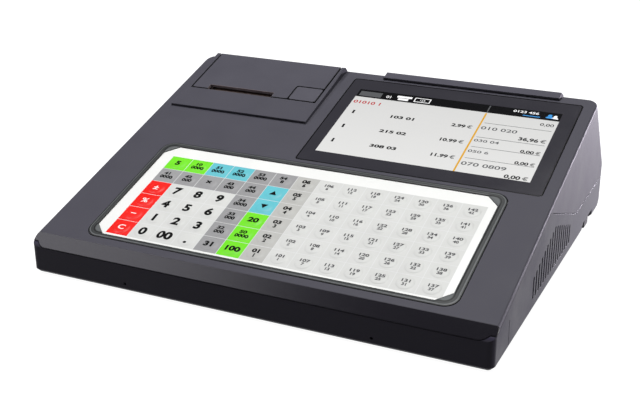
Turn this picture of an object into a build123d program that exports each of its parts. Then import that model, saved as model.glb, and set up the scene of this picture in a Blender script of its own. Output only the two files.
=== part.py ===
from build123d import *
from math import atan2, cos, degrees, hypot, pi, radians, sin, tan
import os

# Desk-top cash register with a flat keyboard, a colour display, a receipt printer and a
# customer display that pulls up behind the screen. Millimetres, +Z up, +X to the right seen
# from the front, -Y towards the operator. The origin is on the table, under the middle.

# ---- the case -------------------------------------------------------------------------
WIDTH = 360.0
DEPTH = 316.0
FOOT_PROUD = 1.5
WALL = 2.5
DECK_SLOPE = 16.08
BROW_IN = 44.8418
BAND_FOOT = 21.3
BAND_TOP = 29.1
BAND_RUN = 9.8
RIDGE_HEIGHT = 41.0
TAIL_IN = 7.0
TAIL_HEIGHT = 7.0
BELLY_IN = 16.0
FRONT_CORNER = 5.0
REAR_CORNER = 9.0
DECK_EDGE_RADIUS = 2.0
BELLY_EDGE = 2.5

# ---- how the case is split ------------------------------------------------------------
SEAM_GAP = 0.4
SEAM_BELOW_DECK = 3.0
SEAM_BREAK = 128.5
SEAM_LOW_IN = 99.0
SEAM_LOW = 27.6
BAND_CORNER = 12.0
LIP_THICK = 1.4
LIP_RISE = 2.5

# ---- vents, feet, screws --------------------------------------------------------------
VENT_COUNT = 16
VENT_PITCH = 7.0
VENT_START = 92.0
VENT_WIDTH = 3.0
VENT_FOOT = 10.0
VENT_FIRST_TOP = 27.0
VENT_BELOW_SEAM = 9.8
SIDE_GROOVE_Y = 33.0
SIDE_GROOVE_FOOT = 3.0
SIDE_GROOVE_TOP = 22.0
SIDE_GROOVE_WIDTH = 0.8
SIDE_GROOVE_DEPTH = 0.6
PINHOLE_X = 97.0
PINHOLE_HEIGHT = 6.1
PINHOLE_RADIUS = 1.1
NOTCH_IN = 75.0
NOTCH_LENGTH = 40.0
NOTCH_LEAD = 8.0
NOTCH_HEIGHT = 7.0
NOTCH_INTO = 20.0
REAR_FOOT_BEHIND = 15.0
REAR_FOOT_SIZE = 18.0
REAR_FOOT_CORNER = 3.0
REAR_FOOT_IN = 1.0
FRONT_FOOT_RADIUS = 8.0
FRONT_FOOT_SINK = 1.0
FRONT_FOOT_IN = 30.0
FRONT_FOOT_Y = 30.0
SMALL_SIDES = 8
SCREW_IN = 12.5
SCREW_FRONT = 24.0
SCREW_MIDDLE = 139.0
SCREW_BACK_IN = 30.0
SCREW_RADIUS = 1.5
SCREW_HEAD_RADIUS = 2.8
SCREW_HEAD_HEIGHT = 2.0
SCREW_BORE_RADIUS = 3.4
SCREW_BORE_DEPTH = 7.0
SCREW_LENGTH = 12.0
BOSS_RADIUS = 5.0
BOSS_HEIGHT = 12.0
COLUMN_RADIUS = 4.0
FIT = 0.05

# ---- keyboard -------------------------------------------------------------------------
KEY_COLUMNS = 14
KEY_ROWS = 6
KEYS_SIDE = 35.791
KEY_PITCH_S = 17.047
KEYS_SHIFT = 2.29
KEYS_S = 64.7
DOME_RADIUS = 6.4
DOME_HEIGHT = 0.6
DOME_LEAN = 68.0
DOME_SIDES = 8
SHEET_SIDE = 5.25
SHEET_LENGTH = 117.3
SHEET_SHIFT = -0.5
SHEET_S = 69.7
SHEET_CORNER = 10.0
RIM_IN_LEFT = 36.45
RIM_IN_RIGHT = 31.65
RIM_LENGTH = 126.0
RIM_S = 69.8
RIM_CORNER = 11.0
RIM_PROUD = 0.6
RIM_GAP = 0.3
RIM_BEAD = 1.4
PLATE_THICK = 1.0
PLATE_LAP = 2.2
MEMBRANE_THICK = 0.6
SHEET_THICK = 0.5
COVER_THICK = 1.0

# ---- main display ---------------------------------------------------------------------
GLASS_SIDE = 10.4
GLASS_FROM_BLOCK = 12.6
GLASS_FROM_RIM = 4.0
GLASS_FROM_BROW = 10.2
GLASS_THICK = 1.8
GLASS_CORNER = 3.0
GLASS_GAP = 0.3
GASKET_THICK = 0.7
GASKET_BAND = 6.0
LEDGE_THICK = 1.5
LEDGE_LAP = 1.5
PANEL_ROOM_X = 2.0
PANEL_ROOM_S = 2.5
PANEL_THICK = 5.0
PANEL_GAP = 0.3
BRACKET_THICK = 1.0
BRACKET_LAP = 2.0
BRACKET_WINDOW = 0.7
EAR_OUT = 1.5
EAR_S = 38.0
EAR_RADIUS = 3.2

# ---- printer block and lid ------------------------------------------------------------
BLOCK_LENGTH = 87.8
BLOCK_IN = 9.8
BLOCK_WIDTH = 129.2
BLOCK_STEP = 2.2
BLOCK_TILT = 1.0
BLOCK_DRAFT = 10.0
BLOCK_FOOT_FLARE = 0.7
GROOVE_HEIGHT = 1.1
GROOVE_DEPTH = 1.6
LID_IN_LEFT = 4.7
LID_IN_RIGHT = 4.6
LID_LENGTH = 58.7
LID_GAP = 1.0
LID_THICK = 2.5
LID_SKIRT = 22.0
LID_RIB = 1.6
LID_RIB_DEPTH = 3.0
LID_RIB_RAMP = 7.0
LID_RIB_BEHIND = 2.2
LID_RIB_SHORT = 1.5
BARREL_RADIUS = 3.2
PIN_RADIUS = 1.25
PIN_SEAT = 7.0
BUTTON_WIDTH = 25.4
BUTTON_LENGTH = 20.4
BUTTON_THICK = 3.0
BUTTON_CORNER = 3.0
STEM_WIDTH = 8.0
STEM_LENGTH = 6.0
STEM_REACH = 15.0
GUIDE_DEPTH = 9.0
GUIDE_THICK = 2.0
GUIDE_FIT = 0.3
SLOT_WIDTH = 63.0
SLOT_SHIFT = 0.2
SLOT_LENGTH = 6.5
SLOT_CUT = 3.0

# ---- printer mechanism ----------------------------------------------------------------
PAPER_IN = 51.7
PAPER_WIDTH = 57.5
PLATEN_BEHIND = 9.7
PLATEN_H = -7.5
PLATEN_RADIUS = 6.0
PLATEN_HALF = 29.0
SHAFT_RADIUS = 2.5
CHEEK_IN = 30.0
CHEEK_THICK = 3.0
CHEEK_RIM = 2.0
BUSH_RADIUS = 4.0
PLATE_IN = 34.3
FRAME_THICK = 1.2
FRAME_AHEAD = 27.0
FRAME_BEHIND = 8.0
FRAME_TOP = -5.0
HEAD_THICK = 3.0
HEAD_GAP = 0.3
HEAD_TOP = -2.5
HEAD_FOOT = -15.5
FIN_COUNT = 3
FIN_PITCH = 4.0
FIN_DEPTH = 3.0
FIN_THICK = 1.2
TEAR_THICK = 1.2
TEAR_PITCH = 2.0
TEAR_TOOTH = 1.0
GEAR_IN = 36.5
GEAR_WIDTH = 3.5
MODULE = 0.5
PLATEN_TEETH = 24
IDLER_TEETH = 30
PINION_TEETH = 12
TOOTH_SHARE = 0.40
TOOTH_ROOT = 1.3
STUD_RADIUS = 1.5
GEAR_ROOM = 0.8
MOTOR_RADIUS = 7.5
MOTOR_LENGTH = 15.0
MOTOR_SHAFT_RADIUS = 1.0

# ---- paper tub and roll ---------------------------------------------------------------
TUB_IN_LEFT = 0.7
TUB_IN_RIGHT = 0.6
TUB_BEHIND = 5.8
TUB_FROM_BROW = 8.0
TUB_WALL = 2.0
TUB_SHELF = -22.0
TUB_FLOOR = -34.0
TROUGH_FROM_BROW = 24.0
TROUGH_H = -33.0
TROUGH_RADIUS = 25.0
TROUGH_HALF = 30.5
ROLL_RADIUS = 23.0
ROLL_CORE = 8.5
CORE_BORE = 6.5
ROLL_SEAT = 0.3

# ---- customer display -----------------------------------------------------------------
POP_FROM_GLASS = 24.0
POP_SIDE = 30.0
POP_IN = 49.0
POP_THICK = 14.0
POP_FOOT = 44.0
POP_GAP = 0.4
POP_LIP_REACH = 2.8
POP_LIP_GAP = 0.8
POP_LIP_RISE = 2.4
POP_CAP_OVER = 2.2
POP_CHAMFER = 2.4
POP_TRAVEL = 38.0
WINDOW_IN = 14.2
WINDOW_HEIGHT = 25.0
WINDOW_MIDDLE = 71.0
WINDOW_THICK = 1.5
WINDOW_LAP = 2.0
WINDOW_SINK = 0.2
MODULE_ROOM = 1.0
MODULE_DEPTH = 7.0
TONGUE_WIDTH = 2.0
TONGUE_THICK = 4.0
RAIL_WIDTH = 6.0
RAIL_UNDER = 3.684
RAIL_FOOT = 3.0
RAIL_FIT = 0.3

# ---- main board and rear sockets ------------------------------------------------------
BOARD_IN_LEFT = 12.4
BOARD_IN_RIGHT = 8.0
BOARD_LENGTH = 103.0
BOARD_IN = 13.0
BOARD_THICK = 1.6
BOARD_HEIGHT = 8.0
STANDOFF_RADIUS = 3.0
STANDOFF_IN = 5.0
BOARD_SCREW_RADIUS = 1.2
BOARD_SCREW_HEAD = 2.2
BOARD_SCREW_CAP = 1.4
BOARD_SCREW_BITE = 4.0
PROCESSOR_SIZE = 16.0
PROCESSOR_PLACE = (52.0, 35.0)
MEMORY_SIZE = (12.0, 8.0)
MEMORY_PLACE = (80.0, 40.0)
MEMORY_PITCH = 16.0
POWER_CHIP_SIZE = 12.0
POWER_CHIP_PLACE = (22.0, 28.0)
CHIP_HEIGHT = 1.5
BATTERY_PLACE = (114.0, 28.0)
BATTERY_RADIUS = 10.0
BATTERY_HEIGHT = 3.2
BUZZER_PLACE = (22.0, 62.0)
BUZZER_RADIUS = 6.0
BUZZER_HOLE = 1.0
BUZZER_HEIGHT = 7.0
SOCKET_IN = 8.0
SOCKET_SKIN = 0.8
SOCKET_GAP = 0.4
JACK_X = 12.0
JACK_SIZE = (9.0, 14.0, 11.0)
JACK_BORE = 3.0
JACK_PIN = 1.0
JACK_BACK = 4.0
USB_X = 36.0
USB_SIZE = (13.2, 14.0, 6.6)
USB_TONGUE = 1.8
USB_TONGUE_LIFT = 3.0
USB_BACK = 3.0
NETWORK_X = 60.0
NETWORK_SIZE = (16.0, 16.0, 13.4)
NETWORK_OPENING = (11.8, 8.4, 11.0)
DRAWER_X = 84.0
DRAWER_SIZE = (13.4, 15.0, 11.6)
DRAWER_OPENING = (9.8, 6.8, 10.0)
SERIAL_X = 114.0
SERIAL_SIZE = (30.8, 10.0, 12.4)
SERIAL_SHELL = (16.9, 8.4, 5.0)
SERIAL_PIN_PITCH = 2.76
SERIAL_PIN = 1.0
SWITCH_IN = 60.0
SWITCH_HEIGHT = 17.5
SWITCH_WIDTH = 19.0
SWITCH_TALL = 13.0
SWITCH_DEEP = 14.0
SWITCH_BEZEL = 1.6
SWITCH_BEZEL_THICK = 1.2
SWITCH_ROOM = 8.0
SWITCH_RIM = 1.0
ROCKER_DEEP = 3.2
ROCKER_HIGH = 2.0
ROCKER_SADDLE = 1.3
ROCKER_LOW = 1.0
ROCKER_TAPER = 0.6
ROCKER_GAP = 0.9
PIVOT_RADIUS = 1.0

# ---- derived places -------------------------------------------------------------------
FRONT = -DEPTH / 2
ALONG = (cos(radians(DECK_SLOPE)), sin(radians(DECK_SLOPE)))
UPRIGHT = (-ALONG[1], ALONG[0])
BAND_EDGE = (FRONT + BAND_RUN, FOOT_PROUD + BAND_TOP)
DECK_LENGTH = (DEPTH - BAND_RUN - BROW_IN) / ALONG[0]

# The left part of the deck is the printer's, from the side and from the brow.
BLOCK_LEFT = BLOCK_IN - WIDTH / 2
BLOCK_RIGHT = BLOCK_LEFT + BLOCK_WIDTH
BLOCK_FRONT = DECK_LENGTH - BLOCK_LENGTH
LID_LEFT = BLOCK_LEFT + LID_IN_LEFT
LID_RIGHT = BLOCK_RIGHT - LID_IN_RIGHT
LID_WIDTH = LID_RIGHT - LID_LEFT
LID_FRONT = DECK_LENGTH - LID_LENGTH
BUTTON_LEFT = LID_RIGHT - BUTTON_WIDTH
PAPER_X = BLOCK_LEFT + PAPER_IN
SLOT_LEFT = PAPER_X + SLOT_SHIFT - SLOT_WIDTH / 2
SLOT_RIGHT = PAPER_X + SLOT_SHIFT + SLOT_WIDTH / 2
SLOT_BACK = LID_FRONT + SLOT_LENGTH
LID_RIB_START = SLOT_BACK + LID_RIB_BEHIND
PLATEN_S = LID_FRONT + PLATEN_BEHIND
FRAME_FRONT = PLATEN_S - FRAME_AHEAD
FRAME_BACK = PLATEN_S + FRAME_BEHIND
TUB_LEFT = BLOCK_LEFT + TUB_IN_LEFT
TUB_RIGHT = BLOCK_RIGHT - TUB_IN_RIGHT
TUB_FRONT = BLOCK_FRONT + TUB_BEHIND
TUB_BACK = DECK_LENGTH - TUB_FROM_BROW
TROUGH_S = DECK_LENGTH - TROUGH_FROM_BROW

# The keyboard takes the width; the glass takes what the printer and the keyboard leave.
RIM_WIDTH = WIDTH - RIM_IN_LEFT - RIM_IN_RIGHT
RIM_X = (RIM_IN_LEFT - RIM_IN_RIGHT) / 2
SHEET_WIDTH = RIM_WIDTH - 2 * SHEET_SIDE
SHEET_X = RIM_X + SHEET_SHIFT
KEY_PITCH_X = (SHEET_WIDTH - KEYS_SIDE) / (KEY_COLUMNS - 1)
KEYS_X = SHEET_X + KEYS_SHIFT
GLASS_LEFT = BLOCK_RIGHT + GLASS_FROM_BLOCK
GLASS_RIGHT = WIDTH / 2 - GLASS_SIDE
GLASS_WIDTH = GLASS_RIGHT - GLASS_LEFT
GLASS_X = (GLASS_LEFT + GLASS_RIGHT) / 2
GLASS_FRONT = RIM_S + RIM_LENGTH / 2 + GLASS_FROM_RIM
GLASS_BACK = DECK_LENGTH - GLASS_FROM_BROW
GLASS_LENGTH = GLASS_BACK - GLASS_FRONT
GLASS_S = (GLASS_FRONT + GLASS_BACK) / 2
PANEL_WIDTH = GLASS_WIDTH - 2 * (GASKET_BAND + PANEL_ROOM_X)
PANEL_LENGTH = GLASS_LENGTH - 2 * (GASKET_BAND + PANEL_ROOM_S)
EAR_X = GLASS_WIDTH / 2 + EAR_OUT

# The customer display stands behind the glass, the main board between its rails.
POP_LEFT = GLASS_LEFT + POP_FROM_GLASS
POP_RIGHT = WIDTH / 2 - POP_SIDE
POP_FRONT = DEPTH - POP_IN
POP_BACK = POP_FRONT + POP_THICK
POP_LIP = POP_FRONT - POP_LIP_REACH
WINDOW_WIDTH = POP_RIGHT - POP_LEFT - 2 * WINDOW_IN
BOARD_LEFT = POP_LEFT + BOARD_IN_LEFT
BOARD_RIGHT = POP_RIGHT - BOARD_IN_RIGHT
BOARD_BACK = DEPTH - BOARD_IN
BOARD_FRONT = BOARD_BACK - BOARD_LENGTH
SOCKET_FACE = DEPTH - SOCKET_IN
SWITCH_X = SWITCH_IN - WIDTH / 2

SEAM_LOW_START = DEPTH - SEAM_LOW_IN
NOTCH_START = DEPTH - NOTCH_IN
NOTCH_END = NOTCH_START + NOTCH_LENGTH
REAR_FOOT_START = NOTCH_START + REAR_FOOT_BEHIND
FRONT_FOOT_X = WIDTH / 2 - FRONT_FOOT_IN
SCREW_X = WIDTH / 2 - SCREW_IN
SCREW_ROWS = (SCREW_FRONT, SCREW_MIDDLE, DEPTH - SCREW_BACK_IN)


def deck_yz(s, h):
    """World (y, z) of the place s up the deck's slope and h above its surface."""
    return (
        BAND_EDGE[0] + s * ALONG[0] + h * UPRIGHT[0],
        BAND_EDGE[1] + s * ALONG[1] + h * UPRIGHT[1],
    )


def deck_plane(height=0.0):
    """Plane on the deck, local x across the case and local y up the slope."""
    upright = (0, UPRIGHT[0], UPRIGHT[1])
    return Plane(origin=(0, BAND_EDGE[0], BAND_EDGE[1]), x_dir=(1, 0, 0), z_dir=upright).offset(height)


def across(x):
    """Plane square to X in deck coordinates: local x is s, local y is h, extrusions go to +X."""
    return Plane(origin=(x, BAND_EDGE[0], BAND_EDGE[1]), x_dir=(0, ALONG[0], ALONG[1]), z_dir=(1, 0, 0))


def meet(p, d, q, e):
    """Where the line through p along d meets the line through q along e."""
    cross = d[0] * e[1] - d[1] * e[0]
    t = ((q[0] - p[0]) * e[1] - (q[1] - p[1]) * e[0]) / cross
    return (p[0] + t * d[0], p[1] + t * d[1])


def move(p, d, t):
    return (p[0] + d[0] * t, p[1] + d[1] * t)


BROW = deck_yz(DECK_LENGTH, 0)
RIDGE = (FRONT + DEPTH, FOOT_PROUD + RIDGE_HEIGHT)
REAR_REACH = hypot(RIDGE[0] - BROW[0], RIDGE[1] - BROW[1])

# The rear slope, in deck coordinates (s, h): its direction downhill and its outward normal.
REAR_DOWN_YZ = ((RIDGE[0] - BROW[0]) / REAR_REACH, (RIDGE[1] - BROW[1]) / REAR_REACH)
REAR_DOWN = (
    REAR_DOWN_YZ[0] * ALONG[0] + REAR_DOWN_YZ[1] * ALONG[1],
    REAR_DOWN_YZ[0] * UPRIGHT[0] + REAR_DOWN_YZ[1] * UPRIGHT[1],
)
REAR_OUT = (-REAR_DOWN[1], REAR_DOWN[0])


def under_cover_z(y):
    """Height of the rear slope's inner surface above y."""
    slope_z = BROW[1] + (y - BROW[0]) * REAR_DOWN_YZ[1] / REAR_DOWN_YZ[0]
    return slope_z - WALL / REAR_DOWN_YZ[0]


RAIL_TOP = under_cover_z(FRONT + POP_BACK) - RAIL_UNDER

# The printer block's top face: it leaves the deck's slope by BLOCK_TILT.
BLOCK_ALONG = (cos(radians(BLOCK_TILT)), sin(radians(BLOCK_TILT)))
BLOCK_UP = (-BLOCK_ALONG[1], BLOCK_ALONG[0])
BLOCK_START = (BLOCK_FRONT, BLOCK_STEP)
BLOCK_BROW = meet(BLOCK_START, BLOCK_ALONG, (DECK_LENGTH, 0), REAR_DOWN)


def block_at(s, depth=0.0):
    """Deck coordinates of the place on the block's top above s, sunk by depth square to it."""
    on_top = (s, BLOCK_STEP + (s - BLOCK_FRONT) * tan(radians(BLOCK_TILT)))
    return move(on_top, BLOCK_UP, -depth)


def block_plane(height=0.0):
    """Plane on the printer block's top, local y from the block's front edge."""
    y, z = deck_yz(*BLOCK_START)
    lean = radians(DECK_SLOPE + BLOCK_TILT)
    return Plane(origin=(0, y, z), x_dir=(1, 0, 0), z_dir=(0, -sin(lean), cos(lean))).offset(height)


def block_u(s):
    """Distance from the block's front edge along its top, for the place above s."""
    return (s - BLOCK_FRONT) / cos(radians(BLOCK_TILT))


# The lid's hinge: a barrel at the foot of the lid's rear skirt, flush with the rear slope.
HINGE = move(move(BLOCK_BROW, REAR_DOWN, LID_SKIRT), REAR_OUT, -BARREL_RADIUS)

# The idler lies on the line along which the platen leaves when the lid starts to open.
PLATEN = (PLATEN_S, PLATEN_H)
LEAVE = atan2(HINGE[0] - PLATEN_S, PLATEN_H - HINGE[1])
IDLER_CENTRES = MODULE * (PLATEN_TEETH + IDLER_TEETH) / 2
PINION_CENTRES = MODULE * (IDLER_TEETH + PINION_TEETH) / 2
IDLER = (PLATEN[0] - IDLER_CENTRES * cos(LEAVE), PLATEN[1] - IDLER_CENTRES * sin(LEAVE))
MOTOR_AROUND = radians(204)
MOTOR = (IDLER[0] + PINION_CENTRES * cos(MOTOR_AROUND), IDLER[1] + PINION_CENTRES * sin(MOTOR_AROUND))
GEAR_X = PAPER_X + GEAR_IN

# Seams between the two halves of the case, in world (y, z).
SEAM_TURN = deck_yz((SEAM_BREAK - BAND_RUN) / ALONG[0], -SEAM_BELOW_DECK)
SEAM_END = (FRONT + SEAM_LOW_START, FOOT_PROUD + SEAM_LOW)
FAR = 400.0


# ---- the case's form ------------------------------------------------------------------
def case_form(inset, soft_edges=False):
    """The closed outer form of the case, or the same form shrunk by inset for its hollow."""
    with BuildPart() as form:
        with BuildSketch(Plane.YZ):
            with BuildLine():
                Polyline(
                    (FRONT, FOOT_PROUD),
                    (FRONT, FOOT_PROUD + BAND_FOOT),
                    BAND_EDGE,
                    BROW,
                    RIDGE,
                    (RIDGE[0] - TAIL_IN, FOOT_PROUD + TAIL_HEIGHT),
                    (RIDGE[0] - BELLY_IN, FOOT_PROUD),
                    close=True,
                )
            make_face()
            if inset:
                offset(amount=-inset, kind=Kind.INTERSECTION)
        extrude(amount=WIDTH / 2 - inset, both=True)
        with BuildSketch(Plane.XY):
            Rectangle(WIDTH - 2 * inset, DEPTH - 2 * inset)
            fillet(vertices().group_by(Axis.Y)[0], FRONT_CORNER - inset)
            fillet(vertices().group_by(Axis.Y)[-1], REAR_CORNER - inset)
        extrude(amount=FAR, mode=Mode.INTERSECT)
        down_slope = (0, REAR_DOWN_YZ[0], REAR_DOWN_YZ[1])
        with BuildSketch(Plane(origin=(0, RIDGE[0], RIDGE[1]), x_dir=(1, 0, 0), z_dir=down_slope)):
            with Locations((0, inset)):
                Rectangle(WIDTH - 2 * inset, FAR, align=(Align.CENTER, Align.MIN))
            fillet(vertices().group_by(Axis.Y)[0], REAR_CORNER - inset)
        extrude(amount=FAR, both=True, mode=Mode.INTERSECT)
        if soft_edges:
            floor_edges = edges().group_by(Axis.Z)[0]
            chamfer(floor_edges, BELLY_EDGE)
            brow_z = BROW[1] + 1
            band_z = BAND_EDGE[1] - 1
            rim = [e for e in edges() if e.bounding_box().min.Z > band_z and e.bounding_box().max.Z < brow_z
                   and e.bounding_box().max.Y < BROW[0] + 1]
            fillet(rim, DECK_EDGE_RADIUS)
    return form.part


CASE_OUTSIDE = case_form(0, soft_edges=True)
CASE_INSIDE = case_form(WALL)


def cover_zone(grow):
    """Everything above the seam, lowered by grow: what the upper cover takes of the case."""
    with BuildPart() as zone:
        front_edge = move(deck_yz(0, -SEAM_BELOW_DECK), ALONG, -3 * BAND_RUN)
        with BuildSketch(Plane.YZ):
            with BuildLine():
                Polyline(
                    (front_edge[0], front_edge[1] - grow),
                    (SEAM_TURN[0], SEAM_TURN[1] - grow),
                    (SEAM_END[0], SEAM_END[1] - grow),
                    (FAR, SEAM_END[1] - grow),
                    (FAR, FAR),
                    (front_edge[0], FAR),
                    close=True,
                )
            make_face()
        extrude(amount=WIDTH, both=True)
        with BuildSketch(Plane.XZ.offset(-FRONT + BAND_RUN)):
            with Locations((0, FOOT_PROUD + BAND_FOOT - grow)):
                Rectangle(WIDTH + 2 * grow, FAR, align=(Align.CENTER, Align.MIN))
            fillet(vertices().group_by(Axis.Y)[0], BAND_CORNER + grow)
        extrude(amount=-2.5 * BAND_RUN)
    return zone.part


def box_between(x, y, z):
    """A plain block between the given limits, for cuts and small fittings."""
    with BuildPart() as block:
        with BuildSketch(Plane.XY.offset(z[0])):
            with Locations(((x[0] + x[1]) / 2, (y[0] + y[1]) / 2)):
                Rectangle(x[1] - x[0], y[1] - y[0])
        extrude(amount=z[1] - z[0])
    return block.part


def stub(radius, sides=SMALL_SIDES, mode=Mode.ADD):
    """Outline of a small round fitting or bore, with as few sides as its size deserves."""
    return RegularPolygon(radius, sides, mode=mode)


def finish(piece, name):
    piece.part.label = name
    export_step(piece.part, "parts/" + name + ".step")


SCREW_PLACES = [(side * SCREW_X, FRONT + row) for side in (-1, 1) for row in SCREW_ROWS]
BOARD_SCREW_PLACES = [
    (x, FRONT + y)
    for x in (BOARD_LEFT + STANDOFF_IN, BOARD_RIGHT - STANDOFF_IN)
    for y in (BOARD_FRONT + STANDOFF_IN, BOARD_BACK - 4 * STANDOFF_IN)
]
BOARD_TOP = BOARD_HEIGHT + BOARD_THICK


def notch_outline(grow):
    """The outline of the notch in the side wall that holds a rear foot, in world (y, z)."""
    with BuildLine() as line:
        Polyline(
            (FRONT + NOTCH_START - grow, FOOT_PROUD - 1),
            (FRONT + NOTCH_START - grow, FOOT_PROUD),
            (FRONT + NOTCH_START + NOTCH_LEAD - grow, FOOT_PROUD + NOTCH_HEIGHT + grow),
            (FRONT + NOTCH_END + grow, FOOT_PROUD + NOTCH_HEIGHT + grow),
            (FRONT + NOTCH_END + grow, FOOT_PROUD - 1),
            close=True,
        )
    return line.line


def vent_top(y):
    """Height of a vent's upper end: it climbs with the deck, then falls with the seam."""
    climbing = FOOT_PROUD + VENT_FIRST_TOP + (y - VENT_START) * tan(radians(DECK_SLOPE))
    fall = (SEAM_END[1] - SEAM_TURN[1]) / (SEAM_END[0] - SEAM_TURN[0])
    falling = SEAM_TURN[1] + (FRONT + y - SEAM_TURN[0]) * fall - VENT_BELOW_SEAM
    return min(climbing, falling)


# ---- sockets: one row of (x, size) so that the board, the sockets and the cuts agree ----
SOCKETS = {
    "power_jack": (BOARD_LEFT + JACK_X, JACK_SIZE),
    "usb_port": (BOARD_LEFT + USB_X, USB_SIZE),
    "network_port": (BOARD_LEFT + NETWORK_X, NETWORK_SIZE),
    "drawer_port": (BOARD_LEFT + DRAWER_X, DRAWER_SIZE),
    "serial_port": (BOARD_LEFT + SERIAL_X, SERIAL_SIZE),
}
TAIL_LEAN = atan2(RIDGE_HEIGHT - TAIL_HEIGHT, TAIL_IN)


def tail_plane():
    """Plane on the rear wall, local x to the left seen from behind, local y up the wall."""
    foot = (RIDGE[0] - TAIL_IN, FOOT_PROUD + TAIL_HEIGHT)
    out = (0, sin(TAIL_LEAN), -cos(TAIL_LEAN))
    return Plane(origin=(0, foot[0], foot[1]), x_dir=(-1, 0, 0), z_dir=out)


# ---- base tray ------------------------------------------------------------------------
with BuildPart() as base_tray:
    add(CASE_OUTSIDE)
    add(CASE_INSIDE, mode=Mode.SUBTRACT)
    add(cover_zone(SEAM_GAP), mode=Mode.SUBTRACT)
    with BuildSketch(Plane.YZ):
        for index in range(VENT_COUNT):
            vent_y = VENT_START + index * VENT_PITCH
            vent_low = FOOT_PROUD + VENT_FOOT
            with Locations((FRONT + vent_y, vent_low)):
                Rectangle(VENT_WIDTH, vent_top(vent_y) - vent_low, align=(Align.CENTER, Align.MIN))
    extrude(amount=WIDTH, both=True, mode=Mode.SUBTRACT)
    # locating lip behind the rear part of the seam
    with BuildPart(mode=Mode.PRIVATE) as lip:
        add(CASE_INSIDE)
        add(case_form(WALL + LIP_THICK), mode=Mode.SUBTRACT)
        with BuildSketch(Plane.YZ):
            with BuildLine():
                Polyline(
                    (SEAM_TURN[0] + 2 * LIP_RISE, SEAM_TURN[1] - 2 * LIP_RISE),
                    (SEAM_END[0], SEAM_END[1] + LIP_RISE),
                    (FAR, SEAM_END[1] + LIP_RISE),
                    (FAR, SEAM_END[1] - 2 * LIP_RISE),
                    (SEAM_END[0], SEAM_END[1] - 2 * LIP_RISE),
                    (SEAM_TURN[0] + 2 * LIP_RISE, SEAM_TURN[1] - 6 * LIP_RISE),
                    close=True,
                )
            make_face()
        extrude(amount=WIDTH, both=True, mode=Mode.INTERSECT)
    add(lip.part)
    # the notches of the rear feet, each in a pocket of its own
    with BuildPart(mode=Mode.PRIVATE) as notch_pockets:
        with BuildSketch(Plane.YZ):
            add(notch_outline(WALL))
            make_face()
        extrude(amount=WIDTH, both=True)
        inner_half = WIDTH / 2 - NOTCH_INTO - WALL
        add(box_between((-inner_half, inner_half), (-FAR, FAR), (-FAR, FAR)), mode=Mode.SUBTRACT)
        add(CASE_OUTSIDE, mode=Mode.INTERSECT)
    add(notch_pockets.part)
    with BuildPart(mode=Mode.PRIVATE) as notches:
        with BuildSketch(Plane.YZ):
            add(notch_outline(0))
            make_face()
        extrude(amount=WIDTH, both=True)
        inner_half = WIDTH / 2 - NOTCH_INTO
        add(box_between((-inner_half, inner_half), (-FAR, FAR), (-FAR, FAR)), mode=Mode.SUBTRACT)
    add(notches.part, mode=Mode.SUBTRACT)
    # screw bosses, stand-offs of the main board, seats of the front feet
    with BuildSketch(Plane.XY.offset(FOOT_PROUD)):
        with Locations(*SCREW_PLACES):
            stub(BOSS_RADIUS)
    extrude(amount=BOSS_HEIGHT)
    with BuildSketch(Plane.XY.offset(FOOT_PROUD)):
        with Locations(*BOARD_SCREW_PLACES):
            stub(STANDOFF_RADIUS)
    extrude(amount=BOARD_HEIGHT - FOOT_PROUD)
    with BuildSketch(Plane.XY.offset(FOOT_PROUD)):
        with Locations(*SCREW_PLACES):
            stub(SCREW_BORE_RADIUS)
    extrude(amount=SCREW_BORE_DEPTH, mode=Mode.SUBTRACT)
    with BuildSketch(Plane.XY.offset(FOOT_PROUD)):
        with Locations(*SCREW_PLACES):
            stub(SCREW_RADIUS + FIT)
    extrude(amount=BOSS_HEIGHT, mode=Mode.SUBTRACT)
    with BuildSketch(Plane.XY.offset(BOARD_HEIGHT)):
        with Locations(*BOARD_SCREW_PLACES):
            stub(BOARD_SCREW_RADIUS + FIT)
    extrude(amount=-(BOARD_HEIGHT - FOOT_PROUD - 1), mode=Mode.SUBTRACT)
    with BuildSketch(Plane.XY.offset(FOOT_PROUD)):
        with Locations((-FRONT_FOOT_X, FRONT + FRONT_FOOT_Y), (FRONT_FOOT_X, FRONT + FRONT_FOOT_Y)):
            stub(FRONT_FOOT_RADIUS, 2 * SMALL_SIDES)
    extrude(amount=FRONT_FOOT_SINK, mode=Mode.SUBTRACT)
    # two small release holes low in the front wall
    with BuildSketch(Plane.XZ.offset(-FRONT + 1)):
        with Locations((-PINHOLE_X, FOOT_PROUD + PINHOLE_HEIGHT), (PINHOLE_X, FOOT_PROUD + PINHOLE_HEIGHT)):
            stub(PINHOLE_RADIUS)
    extrude(amount=-(WALL + 2), mode=Mode.SUBTRACT)
    # a shallow upright groove near the front of both sides
    groove_y = (FRONT + SIDE_GROOVE_Y - SIDE_GROOVE_WIDTH / 2, FRONT + SIDE_GROOVE_Y + SIDE_GROOVE_WIDTH / 2)
    groove_z = (FOOT_PROUD + SIDE_GROOVE_FOOT, FOOT_PROUD + SIDE_GROOVE_TOP)
    add(box_between((WIDTH / 2 - SIDE_GROOVE_DEPTH, WIDTH), groove_y, groove_z), mode=Mode.SUBTRACT)
    add(box_between((-WIDTH, SIDE_GROOVE_DEPTH - WIDTH / 2), groove_y, groove_z), mode=Mode.SUBTRACT)
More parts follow.
